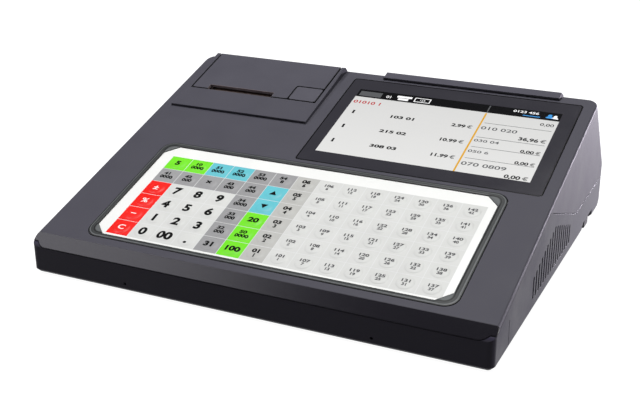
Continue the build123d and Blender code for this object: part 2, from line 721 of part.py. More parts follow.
    # openings in the rear wall for the sockets and the power switch
    with BuildSketch(Plane.XZ.offset(-FRONT - BOARD_BACK)):
        for x, size in SOCKETS.values():
            with Locations((x, BOARD_TOP - SOCKET_GAP)):
                Rectangle(size[0] + 2 * SOCKET_GAP, size[2] + 2 * SOCKET_GAP, align=(Align.CENTER, Align.MIN))
    extrude(amount=-4 * TAIL_IN, mode=Mode.SUBTRACT)
    with BuildSketch(tail_plane().offset(1)):
        with Locations((-SWITCH_X, SWITCH_HEIGHT - TAIL_HEIGHT - FOOT_PROUD)):
            Rectangle(SWITCH_WIDTH + 2 * FIT, SWITCH_TALL + 2 * FIT)
    extrude(amount=-(WALL + LIP_THICK + 2), mode=Mode.SUBTRACT)
finish(base_tray, "base_tray")


# ---- upper cover ----------------------------------------------------------------------
def deck_window(x, s, width, length, corner, height, depth):
    """A rounded rectangular cut or plate in the deck, from height down by depth."""
    with BuildPart() as window:
        with BuildSketch(deck_plane(height)):
            with Locations((x, s)):
                RectangleRounded(width, length, corner)
        extrude(amount=-depth)
    return window.part


def lid_outline(grow):
    """The side outline of the lid's top plate and rear skirt, in deck coordinates."""
    front_low = block_at(LID_FRONT - grow, LID_THICK)
    front_high = block_at(LID_FRONT - grow, -grow)
    brow = move(move(BLOCK_BROW, BLOCK_UP, grow), REAR_OUT, grow)
    skirt_high = move(brow, REAR_DOWN, LID_SKIRT + grow)
    skirt_low = move(move(BLOCK_BROW, REAR_DOWN, LID_SKIRT + grow), REAR_OUT, -LID_THICK)
    inside = meet(front_low, BLOCK_ALONG, skirt_low, REAR_DOWN)
    return [front_low, front_high, brow, skirt_high, skirt_low, inside]


with BuildPart() as upper_cover:
    add(CASE_OUTSIDE)
    add(CASE_INSIDE, mode=Mode.SUBTRACT)
    add(cover_zone(0), mode=Mode.INTERSECT)
    # the printer block: a wedge on the deck with drafted sides, cut by its own top plane
    with BuildPart(mode=Mode.PRIVATE) as block:
        with BuildSketch(deck_plane(-WALL / 2)):
            with Locations(((BLOCK_LEFT + BLOCK_RIGHT) / 2, BLOCK_FRONT)):
                Rectangle(BLOCK_RIGHT - BLOCK_LEFT + 2 * BLOCK_FOOT_FLARE,
                          DECK_LENGTH - BLOCK_FRONT + 2 * LID_SKIRT, align=(Align.CENTER, Align.MIN))
        extrude(amount=LID_SKIRT, taper=BLOCK_DRAFT)
        with BuildSketch(across(-WIDTH)):
            with BuildLine():
                Polyline(
                    (BLOCK_FRONT - 1, -WALL),
                    block_at(BLOCK_FRONT),
                    BLOCK_BROW,
                    (DECK_LENGTH, 0),
                    move((DECK_LENGTH, 0), REAR_DOWN, WALL),
                    close=True,
                )
            make_face()
        extrude(amount=2 * WIDTH, mode=Mode.INTERSECT)
        add(CASE_INSIDE, mode=Mode.SUBTRACT)
    add(block.part)
    # ledge that carries the display glass, and the hinge ears of the printer lid
    ledge_top = GLASS_THICK + GASKET_THICK
    add(deck_window(GLASS_X, GLASS_S, GLASS_WIDTH + 2 * LEDGE_LAP, GLASS_LENGTH + 2 * LEDGE_LAP,
                    GLASS_CORNER, -WALL, LEDGE_THICK))
    with BuildPart(mode=Mode.PRIVATE) as columns:
        with BuildSketch(Plane.XY.offset(FOOT_PROUD + BOSS_HEIGHT)):
            with Locations(*SCREW_PLACES):
                stub(COLUMN_RADIUS)
        extrude(amount=FAR)
        add(CASE_INSIDE, mode=Mode.INTERSECT)
    add(columns.part)
    with BuildSketch(deck_plane(-WALL)):
        with Locations((GLASS_X, GLASS_S)):
            with GridLocations(2 * EAR_X, 2 * EAR_S, 2, 2):
                stub(EAR_RADIUS)
    extrude(amount=-(GLASS_THICK + PANEL_GAP + PANEL_THICK - WALL))
    for ear_x in (LID_LEFT - LID_GAP - PIN_SEAT, LID_RIGHT + LID_GAP):
        with BuildSketch(across(ear_x)):
            with Locations(HINGE):
                Circle(BARREL_RADIUS)
                with Locations(Location((0, 0, 0), (0, 0, degrees(atan2(REAR_OUT[1], REAR_OUT[0]))))):
                    Rectangle(BARREL_RADIUS - WALL / 2, 2 * BARREL_RADIUS, align=(Align.MIN, Align.CENTER))
        extrude(amount=PIN_SEAT)
    # openings
    add(deck_window(RIM_X, RIM_S, RIM_WIDTH + 2 * RIM_GAP, RIM_LENGTH + 2 * RIM_GAP, RIM_CORNER, 1, WALL + 2),
        mode=Mode.SUBTRACT)
    add(deck_window(GLASS_X, GLASS_S, GLASS_WIDTH + 2 * GLASS_GAP, GLASS_LENGTH + 2 * GLASS_GAP,
                    GLASS_CORNER, 1, ledge_top + 1), mode=Mode.SUBTRACT)
    add(deck_window(GLASS_X, GLASS_S, GLASS_WIDTH - 2 * GASKET_BAND, GLASS_LENGTH - 2 * GASKET_BAND,
                    1, 0, WALL + LEDGE_THICK + 1), mode=Mode.SUBTRACT)
    skirt_end = move(BLOCK_BROW, REAR_DOWN, LID_SKIRT + BARREL_RADIUS + LID_GAP / 2)
    lid_cut = [block_at(LID_FRONT - LID_GAP, 2 * BARREL_RADIUS + LID_THICK),
               block_at(LID_FRONT - LID_GAP, -LID_GAP),
               move(BLOCK_BROW, REAR_OUT, 2 * LID_THICK),
               move(skirt_end, REAR_OUT, 2 * LID_THICK),
               move(skirt_end, REAR_OUT, -2.5 * BARREL_RADIUS)]
    with BuildSketch(across(LID_LEFT - LID_GAP)):
        with BuildLine():
            Polyline(*lid_cut, close=True)
        make_face()
    extrude(amount=LID_WIDTH + 2 * LID_GAP, mode=Mode.SUBTRACT)
    with BuildSketch(across(LID_LEFT - LID_GAP - PIN_SEAT)):
        with Locations(HINGE):
            Circle(PIN_RADIUS)
    extrude(amount=LID_WIDTH + 2 * LID_GAP + 2 * PIN_SEAT, mode=Mode.SUBTRACT)
    # groove under the block's front edge
    with BuildSketch(across(BLOCK_LEFT)):
        with Locations((BLOCK_FRONT - 1, 0)):
            Rectangle(GROOVE_DEPTH + 1, GROOVE_HEIGHT, align=(Align.MIN, Align.MIN))
    extrude(amount=BLOCK_RIGHT - BLOCK_LEFT - 1, mode=Mode.SUBTRACT)
    # shaft of the customer display
    add(box_between((POP_LEFT - POP_GAP, POP_RIGHT + POP_GAP),
                    (FRONT + POP_FRONT - POP_GAP, FRONT + POP_FRONT + POP_THICK + POP_GAP),
                    (RAIL_TOP - WALL, FAR)), mode=Mode.SUBTRACT)
    with BuildSketch(Plane.XY.offset(FOOT_PROUD + BOSS_HEIGHT)):
        with Locations(*SCREW_PLACES):
            stub(SCREW_RADIUS)
    extrude(amount=SCREW_LENGTH - BOSS_HEIGHT + SCREW_BORE_DEPTH + 1, mode=Mode.SUBTRACT)
finish(upper_cover, "upper_cover")


# ---- keyboard, from the rim down to the steel plate -----------------------------------
def sheet_outline(shrink):
    """The keyboard's field with its cut corners."""
    with BuildSketch() as outline:
        with Locations((SHEET_X, SHEET_S)):
            Rectangle(SHEET_WIDTH - 2 * shrink, SHEET_LENGTH - 2 * shrink)
        chamfer(outline.vertices(), SHEET_CORNER - shrink * tan(pi / 8))
    return outline.sketch


def keyboard_layer(top, thickness, shrink=RIM_GAP / 2):
    with BuildPart() as layer:
        with BuildSketch(deck_plane(top)):
            add(sheet_outline(shrink))
        extrude(amount=-thickness)
    return layer


MEMBRANE_TOP = -WALL + MEMBRANE_THICK
SHEET_TOP = MEMBRANE_TOP + SHEET_THICK
COVER_TOP = SHEET_TOP + COVER_THICK

with BuildPart() as keyboard_rim:
    with BuildSketch(deck_plane(-WALL)):
        with Locations((RIM_X, RIM_S)):
            RectangleRounded(RIM_WIDTH, RIM_LENGTH, RIM_CORNER)
        add(sheet_outline(0), mode=Mode.SUBTRACT)
    extrude(amount=WALL + RIM_PROUD)
    top_face = faces().sort_by(Axis(deck_plane().origin, deck_plane().z_dir))[-1]
    chamfer(top_face.edges(), RIM_PROUD / 2, RIM_BEAD)
finish(keyboard_rim, "keyboard_rim")

with BuildPart() as keyboard_cover:
    with BuildSketch(deck_plane(COVER_TOP)):
        add(sheet_outline(RIM_GAP / 2))
    extrude(amount=-COVER_THICK)
    with BuildSketch(deck_plane(COVER_TOP)):
        with Locations((KEYS_X, KEYS_S)):
            with GridLocations(KEY_PITCH_X, KEY_PITCH_S, KEY_COLUMNS, KEY_ROWS):
                RegularPolygon(DOME_RADIUS, DOME_SIDES)
    extrude(amount=DOME_HEIGHT, taper=DOME_LEAN)
finish(keyboard_cover, "keyboard_cover")

legend_sheet = keyboard_layer(SHEET_TOP, SHEET_THICK)
finish(legend_sheet, "legend_sheet")

switch_membrane = keyboard_layer(MEMBRANE_TOP, MEMBRANE_THICK)
finish(switch_membrane, "switch_membrane")

with BuildPart() as keyboard_plate:
    with BuildSketch(deck_plane(-WALL)):
        with Locations((RIM_X, RIM_S)):
            RectangleRounded(RIM_WIDTH + 2 * PLATE_LAP, RIM_LENGTH + 2 * PLATE_LAP, RIM_CORNER)
    extrude(amount=-PLATE_THICK)
finish(keyboard_plate, "keyboard_plate")

# ---- main display ---------------------------------------------------------------------
with BuildPart() as touch_glass:
    with BuildSketch(deck_plane(-GLASS_THICK)):
        with Locations((GLASS_X, GLASS_S)):
            RectangleRounded(GLASS_WIDTH, GLASS_LENGTH, GLASS_CORNER - GLASS_GAP)
    extrude(amount=GLASS_THICK)
finish(touch_glass, "touch_glass")

with BuildPart() as display_gasket:
    with BuildSketch(deck_plane(-GLASS_THICK)):
        with Locations((GLASS_X, GLASS_S)):
            Rectangle(GLASS_WIDTH - 2 * GLASS_CORNER, GLASS_LENGTH - 2 * GLASS_CORNER)
            Rectangle(GLASS_WIDTH - 2 * GASKET_BAND, GLASS_LENGTH - 2 * GASKET_BAND, mode=Mode.SUBTRACT)
    extrude(amount=-GASKET_THICK)
finish(display_gasket, "display_gasket")

PANEL_TOP = -(GLASS_THICK + PANEL_GAP)
BRACKET_TOP = PANEL_TOP - PANEL_THICK

with BuildPart() as display_panel:
    with BuildSketch(deck_plane(PANEL_TOP)):
        with Locations((GLASS_X, GLASS_S)):
            Rectangle(PANEL_WIDTH, PANEL_LENGTH)
    extrude(amount=-PANEL_THICK)
finish(display_panel, "display_panel")

with BuildPart() as display_bracket:
    with BuildSketch(deck_plane(BRACKET_TOP)):
        with Locations((GLASS_X, GLASS_S)):
            Rectangle(PANEL_WIDTH + 2 * BRACKET_LAP, PANEL_LENGTH)
            with GridLocations(0, 2 * EAR_S, 1, 2):
                Rectangle(2 * (EAR_X + EAR_RADIUS), 2 * EAR_RADIUS)
            with GridLocations(PANEL_WIDTH / 2, PANEL_LENGTH / 2, 2, 2):
                Rectangle(BRACKET_WINDOW * PANEL_WIDTH / 2, BRACKET_WINDOW * PANEL_LENGTH / 2,
                          mode=Mode.SUBTRACT)
            with GridLocations(2 * EAR_X, 2 * EAR_S, 2, 2):
                stub(BOARD_SCREW_RADIUS + FIT, mode=Mode.SUBTRACT)
    extrude(amount=-BRACKET_THICK)
finish(display_bracket, "display_bracket")

# ---- printer lid ----------------------------------------------------------------------
with BuildPart() as printer_lid:
    with BuildSketch(across(LID_LEFT)):
        with BuildLine():
            Polyline(*lid_outline(0), close=True)
        make_face()
        with Locations(HINGE):
            Circle(BARREL_RADIUS)
    extrude(amount=LID_WIDTH)
    # stiffening ribs at both sides, cheeks that carry the platen
    for rib_x in (LID_LEFT + 1, BUTTON_LEFT - LID_GAP - LID_RIB - 1):
        with BuildSketch(across(rib_x)):
            with BuildLine():
                Polyline(
                    block_at(LID_RIB_START, LID_THICK / 2),
                    block_at(LID_RIB_START, LID_THICK + LID_RIB_DEPTH / 2),
                    block_at(LID_RIB_START + LID_RIB_RAMP, LID_THICK + LID_RIB_DEPTH),
                    block_at(BLOCK_BROW[0] - LID_RIB_RAMP, LID_THICK + LID_RIB_DEPTH),
                    block_at(BLOCK_BROW[0] - LID_RIB_SHORT, LID_THICK / 2),
                    close=True,
                )
            make_face()
        extrude(amount=LID_RIB)
    cheek_radius = BUSH_RADIUS + CHEEK_RIM
    for cheek_x in (PAPER_X - CHEEK_IN - CHEEK_THICK, PAPER_X + CHEEK_IN):
        with BuildSketch(across(cheek_x)):
            with BuildLine():
                Polyline(
                    (PLATEN_S - cheek_radius, PLATEN_H),
                    block_at(SLOT_BACK + LID_GAP / 4, LID_THICK / 2),
                    block_at(PLATEN_S + 2 * BUSH_RADIUS, LID_THICK / 2),
                    (PLATEN_S + cheek_radius, PLATEN_H),
                    close=True,
                )
            make_face()
            with Locations((PLATEN_S, PLATEN_H)):
                Circle(cheek_radius)
        extrude(amount=CHEEK_THICK)
    with BuildSketch(across(LID_LEFT)):
        with Locations((PLATEN_S, PLATEN_H)):
            stub(BUSH_RADIUS)
    extrude(amount=LID_WIDTH, mode=Mode.SUBTRACT)
    with BuildSketch(across(LID_LEFT)):
        with Locations(HINGE):
            Circle(PIN_RADIUS + FIT)
    extrude(amount=LID_WIDTH, mode=Mode.SUBTRACT)
    # paper slot and the corner that the release button fills
    with BuildSketch(block_plane(LID_GAP)):
        with Locations(((SLOT_LEFT + SLOT_RIGHT) / 2, block_u(LID_FRONT) - 1)):
            Rectangle(SLOT_RIGHT - SLOT_LEFT, block_u(SLOT_BACK) - block_u(LID_FRONT) + 1,
                      align=(Align.CENTER, Align.MIN))
        button_cut_right = LID_RIGHT + 1
        with Locations((button_cut_right, block_u(LID_FRONT) - 1)):
            Rectangle(button_cut_right - BUTTON_LEFT + LID_GAP, BUTTON_LENGTH + LID_GAP + 1,
                      align=(Align.MAX, Align.MIN))
    extrude(amount=-(SLOT_CUT + LID_GAP), mode=Mode.SUBTRACT)
    upright = Axis(block_plane().origin, block_plane().z_dir)
    corners = [e for e in edges().filter_by(upright) if e.length < SLOT_CUT
               and abs((e @ 0).X - (BUTTON_LEFT - LID_GAP)) < LID_GAP / 2]
    fillet(corners, BUTTON_CORNER)
finish(printer_lid, "printer_lid")

with BuildPart() as lid_hinge_pin:
    with BuildSketch(across(LID_LEFT - LID_GAP - PIN_SEAT)):
        with Locations(HINGE):
            Circle(PIN_RADIUS)
    extrude(amount=LID_WIDTH + 2 * LID_GAP + 2 * PIN_SEAT)
finish(lid_hinge_pin, "lid_hinge_pin")

with BuildPart() as release_button:
    with BuildSketch(block_plane()):
        with Locations((BUTTON_LEFT, block_u(LID_FRONT))):
            Rectangle(LID_RIGHT - BUTTON_LEFT, BUTTON_LENGTH, align=(Align.MIN, Align.MIN))
        fillet(vertices(), BUTTON_CORNER)
    extrude(amount=-BUTTON_THICK)
    with BuildSketch(block_plane(-BUTTON_THICK)):
        with Locations(((BUTTON_LEFT + LID_RIGHT) / 2, block_u(LID_FRONT) + BUTTON_LENGTH / 2)):
            Rectangle(STEM_WIDTH, STEM_LENGTH)
    extrude(amount=-(STEM_REACH - BUTTON_THICK))
finish(release_button, "release_button")

# ---- paper tub: hangs from the deck, holds the roll, the mechanism and the button guide ----
with BuildPart() as paper_tub:
    with BuildSketch(across(TUB_LEFT)):
        with BuildLine():
            Polyline(
                (TUB_FRONT, -WALL),
                (TUB_BACK, -WALL),
                (TUB_BACK, TUB_SHELF - TUB_WALL),
                (TROUGH_S - TROUGH_RADIUS, TUB_SHELF - TUB_WALL),
                (TROUGH_S - TROUGH_RADIUS, TUB_FLOOR - TUB_WALL),
                (TUB_FRONT, TUB_FLOOR - TUB_WALL),
                close=True,
            )
        make_face()
    extrude(amount=TUB_RIGHT - TUB_LEFT)
    with BuildSketch(across(PAPER_X - TROUGH_HALF - TUB_WALL)):
        with Locations((TROUGH_S, TROUGH_H)):
            Circle(TROUGH_RADIUS + TUB_WALL)
            Rectangle(2 * (TROUGH_RADIUS + TUB_WALL), TUB_SHELF - TROUGH_H, align=(Align.CENTER, Align.MIN))
    extrude(amount=2 * (TROUGH_HALF + TUB_WALL))
    with BuildSketch(across(TUB_LEFT + TUB_WALL)):
        with BuildLine():
            Polyline(
                (TUB_FRONT + TUB_WALL, 1),
                (TUB_BACK - TUB_WALL, 1),
                (TUB_BACK - TUB_WALL, TUB_SHELF),
                (TROUGH_S - TROUGH_RADIUS - TUB_WALL, TUB_SHELF),
                (TROUGH_S - TROUGH_RADIUS - TUB_WALL, TUB_FLOOR),
                (TUB_FRONT + TUB_WALL, TUB_FLOOR),
                close=True,
            )
        make_face()
    extrude(amount=TUB_RIGHT - TUB_LEFT - 2 * TUB_WALL, mode=Mode.SUBTRACT)
    with BuildSketch(across(PAPER_X - TROUGH_HALF)):
        with Locations((TROUGH_S, TROUGH_H)):
            Circle(TROUGH_RADIUS)
            Rectangle(2 * TROUGH_RADIUS, 1 - TROUGH_H, align=(Align.CENTER, Align.MIN))
    extrude(amount=2 * TROUGH_HALF, mode=Mode.SUBTRACT)
    # room for the idler where the shelf steps down
    with BuildSketch(across(PAPER_X + PLATE_IN)):
        with Locations(IDLER):
            Circle(MODULE * (IDLER_TEETH + 2) / 2 + GEAR_ROOM)
    extrude(amount=GEAR_IN + GEAR_WIDTH + GEAR_ROOM - PLATE_IN, mode=Mode.SUBTRACT)
    # bridge with the button's guide
    guide_u = block_u(LID_FRONT)
    with BuildSketch(block_plane(-GUIDE_DEPTH)):
        with Locations((BUTTON_LEFT, guide_u)):
            Rectangle(TUB_RIGHT - TUB_WALL / 2 - BUTTON_LEFT, BUTTON_LENGTH, align=(Align.MIN, Align.MIN))
        with Locations(((BUTTON_LEFT + LID_RIGHT) / 2, guide_u + BUTTON_LENGTH / 2)):
            Rectangle(STEM_WIDTH + 2 * GUIDE_FIT, STEM_LENGTH + 2 * GUIDE_FIT, mode=Mode.SUBTRACT)
    extrude(amount=-GUIDE_THICK)
finish(paper_tub, "paper_tub")

with BuildPart() as paper_roll:
    roll_h = TROUGH_H - TROUGH_RADIUS + ROLL_RADIUS + ROLL_SEAT
    with BuildSketch(across(PAPER_X - PAPER_WIDTH / 2)):
        with Locations((TROUGH_S, roll_h)):
            Circle(ROLL_RADIUS)
            stub(ROLL_CORE, 2 * SMALL_SIDES, mode=Mode.SUBTRACT)
    extrude(amount=PAPER_WIDTH)
finish(paper_roll, "paper_roll")

with BuildPart() as roll_core:
    with BuildSketch(across(PAPER_X - PAPER_WIDTH / 2)):
        with Locations((TROUGH_S, roll_h)):
            stub(ROLL_CORE, 2 * SMALL_SIDES)
            stub(CORE_BORE, 2 * SMALL_SIDES, mode=Mode.SUBTRACT)
    extrude(amount=PAPER_WIDTH)
finish(roll_core, "roll_core")


# ---- printer mechanism ----------------------------------------------------------------
def gear_outline(teeth, phase):
    """Tooth outline about the origin; phase 0 puts a tooth on the local x axis."""
    pitch_radius = MODULE * teeth / 2
    tip, root = pitch_radius + MODULE, pitch_radius - TOOTH_ROOT * MODULE
    half = pi / teeth * TOOTH_SHARE
    lean = MODULE * tan(radians(20)) / pitch_radius
    corners = []
    for tooth in range(teeth):
        middle = phase + 2 * pi * tooth / teeth
        flank = ((-half - lean, root), (-half + lean, tip), (half - lean, tip), (half + lean, root))
        for angle, radius in flank:
            corners.append((radius * cos(middle + angle), radius * sin(middle + angle)))
    return corners


def mesh_phase(teeth, centre, other_teeth, other_centre, other_phase):
    """Phase that puts a gap of this gear opposite a tooth of the other one, or the reverse."""
    towards = atan2(other_centre[1] - centre[1], other_centre[0] - centre[0])
    back = towards + pi
    other_share = ((back - other_phase) * other_teeth / (2 * pi)) % 1
    return towards - (0.5 - other_share) * 2 * pi / teeth


PINION_PHASE = 0.0
IDLER_PHASE = mesh_phase(IDLER_TEETH, IDLER, PINION_TEETH, MOTOR, PINION_PHASE)
PLATEN_PHASE = mesh_phase(PLATEN_TEETH, PLATEN, IDLER_TEETH, IDLER, IDLER_PHASE)


def gear(centre, teeth, phase, bore, start=GEAR_X, width=GEAR_WIDTH):
    with BuildPart() as wheel:
        with BuildSketch(across(start)):
            with Locations(centre):
                with BuildLine(mode=Mode.PRIVATE) as outline:
                    Polyline(*gear_outline(teeth, phase), close=True)
                add(make_face(outline.line, mode=Mode.PRIVATE))
                Circle(bore, mode=Mode.SUBTRACT)
        extrude(amount=width)
    return wheel


platen_gear = gear(PLATEN, PLATEN_TEETH, PLATEN_PHASE, SHAFT_RADIUS)
finish(platen_gear, "platen_gear")
idler_gear = gear(IDLER, IDLER_TEETH, IDLER_PHASE, STUD_RADIUS + FIT)
finish(idler_gear, "idler_gear")
motor_pinion = gear(MOTOR, PINION_TEETH, PINION_PHASE, MOTOR_SHAFT_RADIUS + FIT)
finish(motor_pinion, "motor_pinion")

with BuildPart() as platen_shaft:
    with BuildSketch(across(PAPER_X - GEAR_IN)):
        with Locations(PLATEN):
            Circle(SHAFT_RADIUS)
    extrude(amount=2 * GEAR_IN + GEAR_WIDTH)
finish(platen_shaft, "platen_shaft")

with BuildPart() as platen_roller:
    with BuildSketch(across(PAPER_X - PLATEN_HALF)):
        with Locations(PLATEN):
            Circle(PLATEN_RADIUS)
            Circle(SHAFT_RADIUS, mode=Mode.SUBTRACT)
    extrude(amount=2 * PLATEN_HALF)
finish(platen_roller, "platen_roller")

with BuildPart() as platen_bushes:
    for bush_x in (PAPER_X - CHEEK_IN - CHEEK_THICK, PAPER_X + CHEEK_IN):
        with BuildSketch(across(bush_x)):
            with Locations(PLATEN):
                stub(BUSH_RADIUS)
                Circle(SHAFT_RADIUS + FIT, mode=Mode.SUBTRACT)
        extrude(amount=CHEEK_THICK)
finish(platen_bushes, "platen_bushes")

with BuildPart() as printer_frame:
    with BuildSketch(across(PAPER_X - PLATE_IN - FRAME_THICK)):
        with Locations((FRAME_FRONT, TUB_FLOOR)):
            Rectangle(TROUGH_S - TROUGH_RADIUS - TUB_WALL - GUIDE_FIT - FRAME_FRONT, FRAME_THICK,
                      align=(Align.MIN, Align.MIN))
    extrude(amount=2 * (PLATE_IN + FRAME_THICK))
    for plate_x in (PAPER_X - PLATE_IN - FRAME_THICK, PAPER_X + PLATE_IN):
        with BuildSketch(across(plate_x)):
            with BuildLine():
                Polyline(
                    (FRAME_FRONT, TUB_FLOOR),
                    (FRAME_FRONT, (TUB_FLOOR + FRAME_TOP) / 2),
                    (PLATEN_S - 2 * BUSH_RADIUS, FRAME_TOP),
                    (FRAME_BACK, FRAME_TOP),
                    (FRAME_BACK, TUB_SHELF + GUIDE_FIT),
                    (TROUGH_S - TROUGH_RADIUS - TUB_WALL - GUIDE_FIT, TUB_SHELF + GUIDE_FIT),
                    (TROUGH_S - TROUGH_RADIUS - TUB_WALL - GUIDE_FIT, TUB_FLOOR),
                    close=True,
                )
            make_face()
            # open seat that the platen's shaft drops into
            with Locations(PLATEN):
                Circle(SHAFT_RADIUS + GUIDE_FIT, mode=Mode.SUBTRACT)
            with BuildLine():
                reach = FRAME_TOP - PLATEN_H + 1
                Polyline(
                    (PLATEN_S - SHAFT_RADIUS - GUIDE_FIT, PLATEN_H),
                    (PLATEN_S + SHAFT_RADIUS + GUIDE_FIT, PLATEN_H),
                    (PLATEN_S + SHAFT_RADIUS + GUIDE_FIT + reach / 2, PLATEN_H + reach),
                    (PLATEN_S - SHAFT_RADIUS - GUIDE_FIT, PLATEN_H + reach),
                    close=True,
                )
            make_face(mode=Mode.SUBTRACT)
        extrude(amount=FRAME_THICK)
    with BuildSketch(across(PAPER_X + PLATE_IN)):
        with Locations(IDLER):
            Circle(STUD_RADIUS)
    extrude(amount=FRAME_THICK, mode=Mode.SUBTRACT)
    with BuildSketch(across(PAPER_X + PLATE_IN)):
        with Locations(MOTOR):
            stub(MOTOR_SHAFT_RADIUS + GUIDE_FIT)
    extrude(amount=FRAME_THICK, mode=Mode.SUBTRACT)
finish(printer_frame, "printer_frame")

with BuildPart() as idler_stud:
    with BuildSketch(across(PAPER_X + PLATE_IN)):
        with Locations(IDLER):
            Circle(STUD_RADIUS)
    extrude(amount=GEAR_IN - PLATE_IN + GEAR_WIDTH + 0.5)
finish(idler_stud, "idler_stud")

with BuildPart() as printer_motor:
    with BuildSketch(across(PAPER_X + PLATE_IN - MOTOR_LENGTH)):
        with Locations(MOTOR):
            stub(MOTOR_RADIUS, 2 * SMALL_SIDES)
    extrude(amount=MOTOR_LENGTH)
    with BuildSketch(across(PAPER_X + PLATE_IN)):
        with Locations(MOTOR):
            Circle(MOTOR_SHAFT_RADIUS)
    extrude(amount=GEAR_IN - PLATE_IN + GEAR_WIDTH)
finish(printer_motor, "printer_motor")

HEAD_BACK = PLATEN_S - PLATEN_RADIUS - HEAD_GAP
with BuildPart() as thermal_head:
    with BuildSketch(across(PAPER_X - PLATE_IN)):
        with Locations((HEAD_BACK, HEAD_FOOT)):
            Rectangle(HEAD_THICK, HEAD_TOP - HEAD_FOOT, align=(Align.MAX, Align.MIN))
    extrude(amount=2 * PLATE_IN)
    # cooling fins on the front of the head's aluminium carrier
    with BuildSketch(across(PAPER_X - PLATEN_HALF)):
        for fin in range(FIN_COUNT):
            with Locations((HEAD_BACK - HEAD_THICK, HEAD_FOOT + (fin + 0.5) * FIN_PITCH)):
                Rectangle(FIN_DEPTH, FIN_THICK, align=(Align.MAX, Align.MIN))
    extrude(amount=2 * PLATEN_HALF)
finish(thermal_head, "thermal_head")

with BuildPart() as tear_bar:
    bar_front = LID_FRONT - LID_GAP
    with BuildSketch(block_plane(-1)):
        with BuildLine():
            teeth = int((SLOT_RIGHT - SLOT_LEFT) / TEAR_PITCH) - 2
            start_x = (SLOT_LEFT + SLOT_RIGHT) / 2 - teeth * TEAR_PITCH / 2
            edge_u = block_u(bar_front) + TEAR_THICK
            saw = []
            for tooth in range(teeth):
                saw.append((start_x + tooth * TEAR_PITCH, edge_u))
                saw.append((start_x + (tooth + 0.5) * TEAR_PITCH, edge_u + TEAR_TOOTH))
            saw.append((start_x + teeth * TEAR_PITCH, edge_u))
            saw.append((start_x + teeth * TEAR_PITCH, block_u(bar_front)))
            saw.append((start_x, block_u(bar_front)))
            Polyline(*saw, close=True)
        make_face()
    extrude(amount=-TEAR_THICK)
finish(tear_bar, "tear_bar")


# ---- customer display -----------------------------------------------------------------
def seen_from_side(point):
    """The corner of the cap's side outline that a point lies on."""
    outline = (lip_high, cap_brow, cap_end, lip_low, under)
    return min(outline, key=lambda c: hypot(c[0] - point.Y, c[1] - point.Z))


with BuildPart() as pop_up_housing:
    lip_s = (POP_LIP - BAND_RUN) / ALONG[0]
    lip_low = deck_yz(lip_s, POP_LIP_GAP)
    lip_high = deck_yz(lip_s, POP_LIP_RISE)
    lift = (POP_CAP_OVER * REAR_DOWN_YZ[1] * -1, POP_CAP_OVER * REAR_DOWN_YZ[0])
    cap_brow = meet(lip_high, ALONG, move(BROW, lift, 1), REAR_DOWN_YZ)
    cap_end = meet(cap_brow, REAR_DOWN_YZ, (FRONT + POP_BACK, 0), (0, 1))
    under = meet(lip_low, ALONG, (FRONT + POP_FRONT, 0), (0, 1))
    with BuildSketch(Plane.YZ.offset(POP_LEFT)):
        with BuildLine():
            Polyline(
                (FRONT + POP_FRONT, FOOT_PROUD + POP_FOOT),
                under,
                lip_low,
                lip_high,
                cap_brow,
                cap_end,
                (FRONT + POP_BACK, FOOT_PROUD + POP_FOOT),
                close=True,
            )
        make_face()
    extrude(amount=POP_RIGHT - POP_LEFT)
    # the cap's upper corners are cut off at both ends
    end_edges = edges().filter_by(lambda e: e.bounding_box().size.X < POP_GAP)
    chamfer([e for e in end_edges if {lip_high, cap_brow} == {seen_from_side(e @ 0), seen_from_side(e @ 1)}],
            POP_CHAMFER / 2, POP_CHAMFER)
    # side tongues that run in the rails and stop under the cover at the end of the travel
    tongue_y = FRONT + POP_FRONT + POP_THICK / 2
    tongue_sides = (tongue_y - TONGUE_THICK / 2, tongue_y + TONGUE_THICK / 2)
    tongue_span = (FOOT_PROUD + POP_FOOT, under_cover_z(tongue_sides[1]) - POP_TRAVEL - POP_GAP)
    add(box_between((POP_LEFT - TONGUE_WIDTH, POP_LEFT), tongue_sides, tongue_span))
    add(box_between((POP_RIGHT, POP_RIGHT + TONGUE_WIDTH), tongue_sides, tongue_span))
    # window seat and the pocket behind it
    window_x = (POP_LEFT + POP_RIGHT) / 2
    window_half = WINDOW_WIDTH / 2
    back_y = FRONT + POP_BACK
    window_sides = (window_x - window_half, window_x + window_half)
    window_span = (WINDOW_MIDDLE - WINDOW_HEIGHT / 2, WINDOW_MIDDLE + WINDOW_HEIGHT / 2)
    pocket_sides = (window_sides[0] + WINDOW_LAP, window_sides[1] - WINDOW_LAP)
    pocket_span = (window_span[0] + WINDOW_LAP, window_span[1] - WINDOW_LAP)
    pocket_floor = back_y - WINDOW_THICK - MODULE_DEPTH
    add(box_between(window_sides, (back_y - WINDOW_THICK, back_y + 1), window_span), mode=Mode.SUBTRACT)
    add(box_between(pocket_sides, (pocket_floor, back_y), pocket_span), mode=Mode.SUBTRACT)
finish(pop_up_housing, "pop_up_housing")

with BuildPart() as pop_up_window:
    add(box_between(window_sides, (back_y - WINDOW_THICK, back_y - WINDOW_SINK), window_span))
finish(pop_up_window, "pop_up_window")

with BuildPart() as pop_up_module:
    add(box_between(pocket_sides, (pocket_floor, back_y - WINDOW_THICK - MODULE_ROOM), pocket_span))
finish(pop_up_module, "pop_up_module")

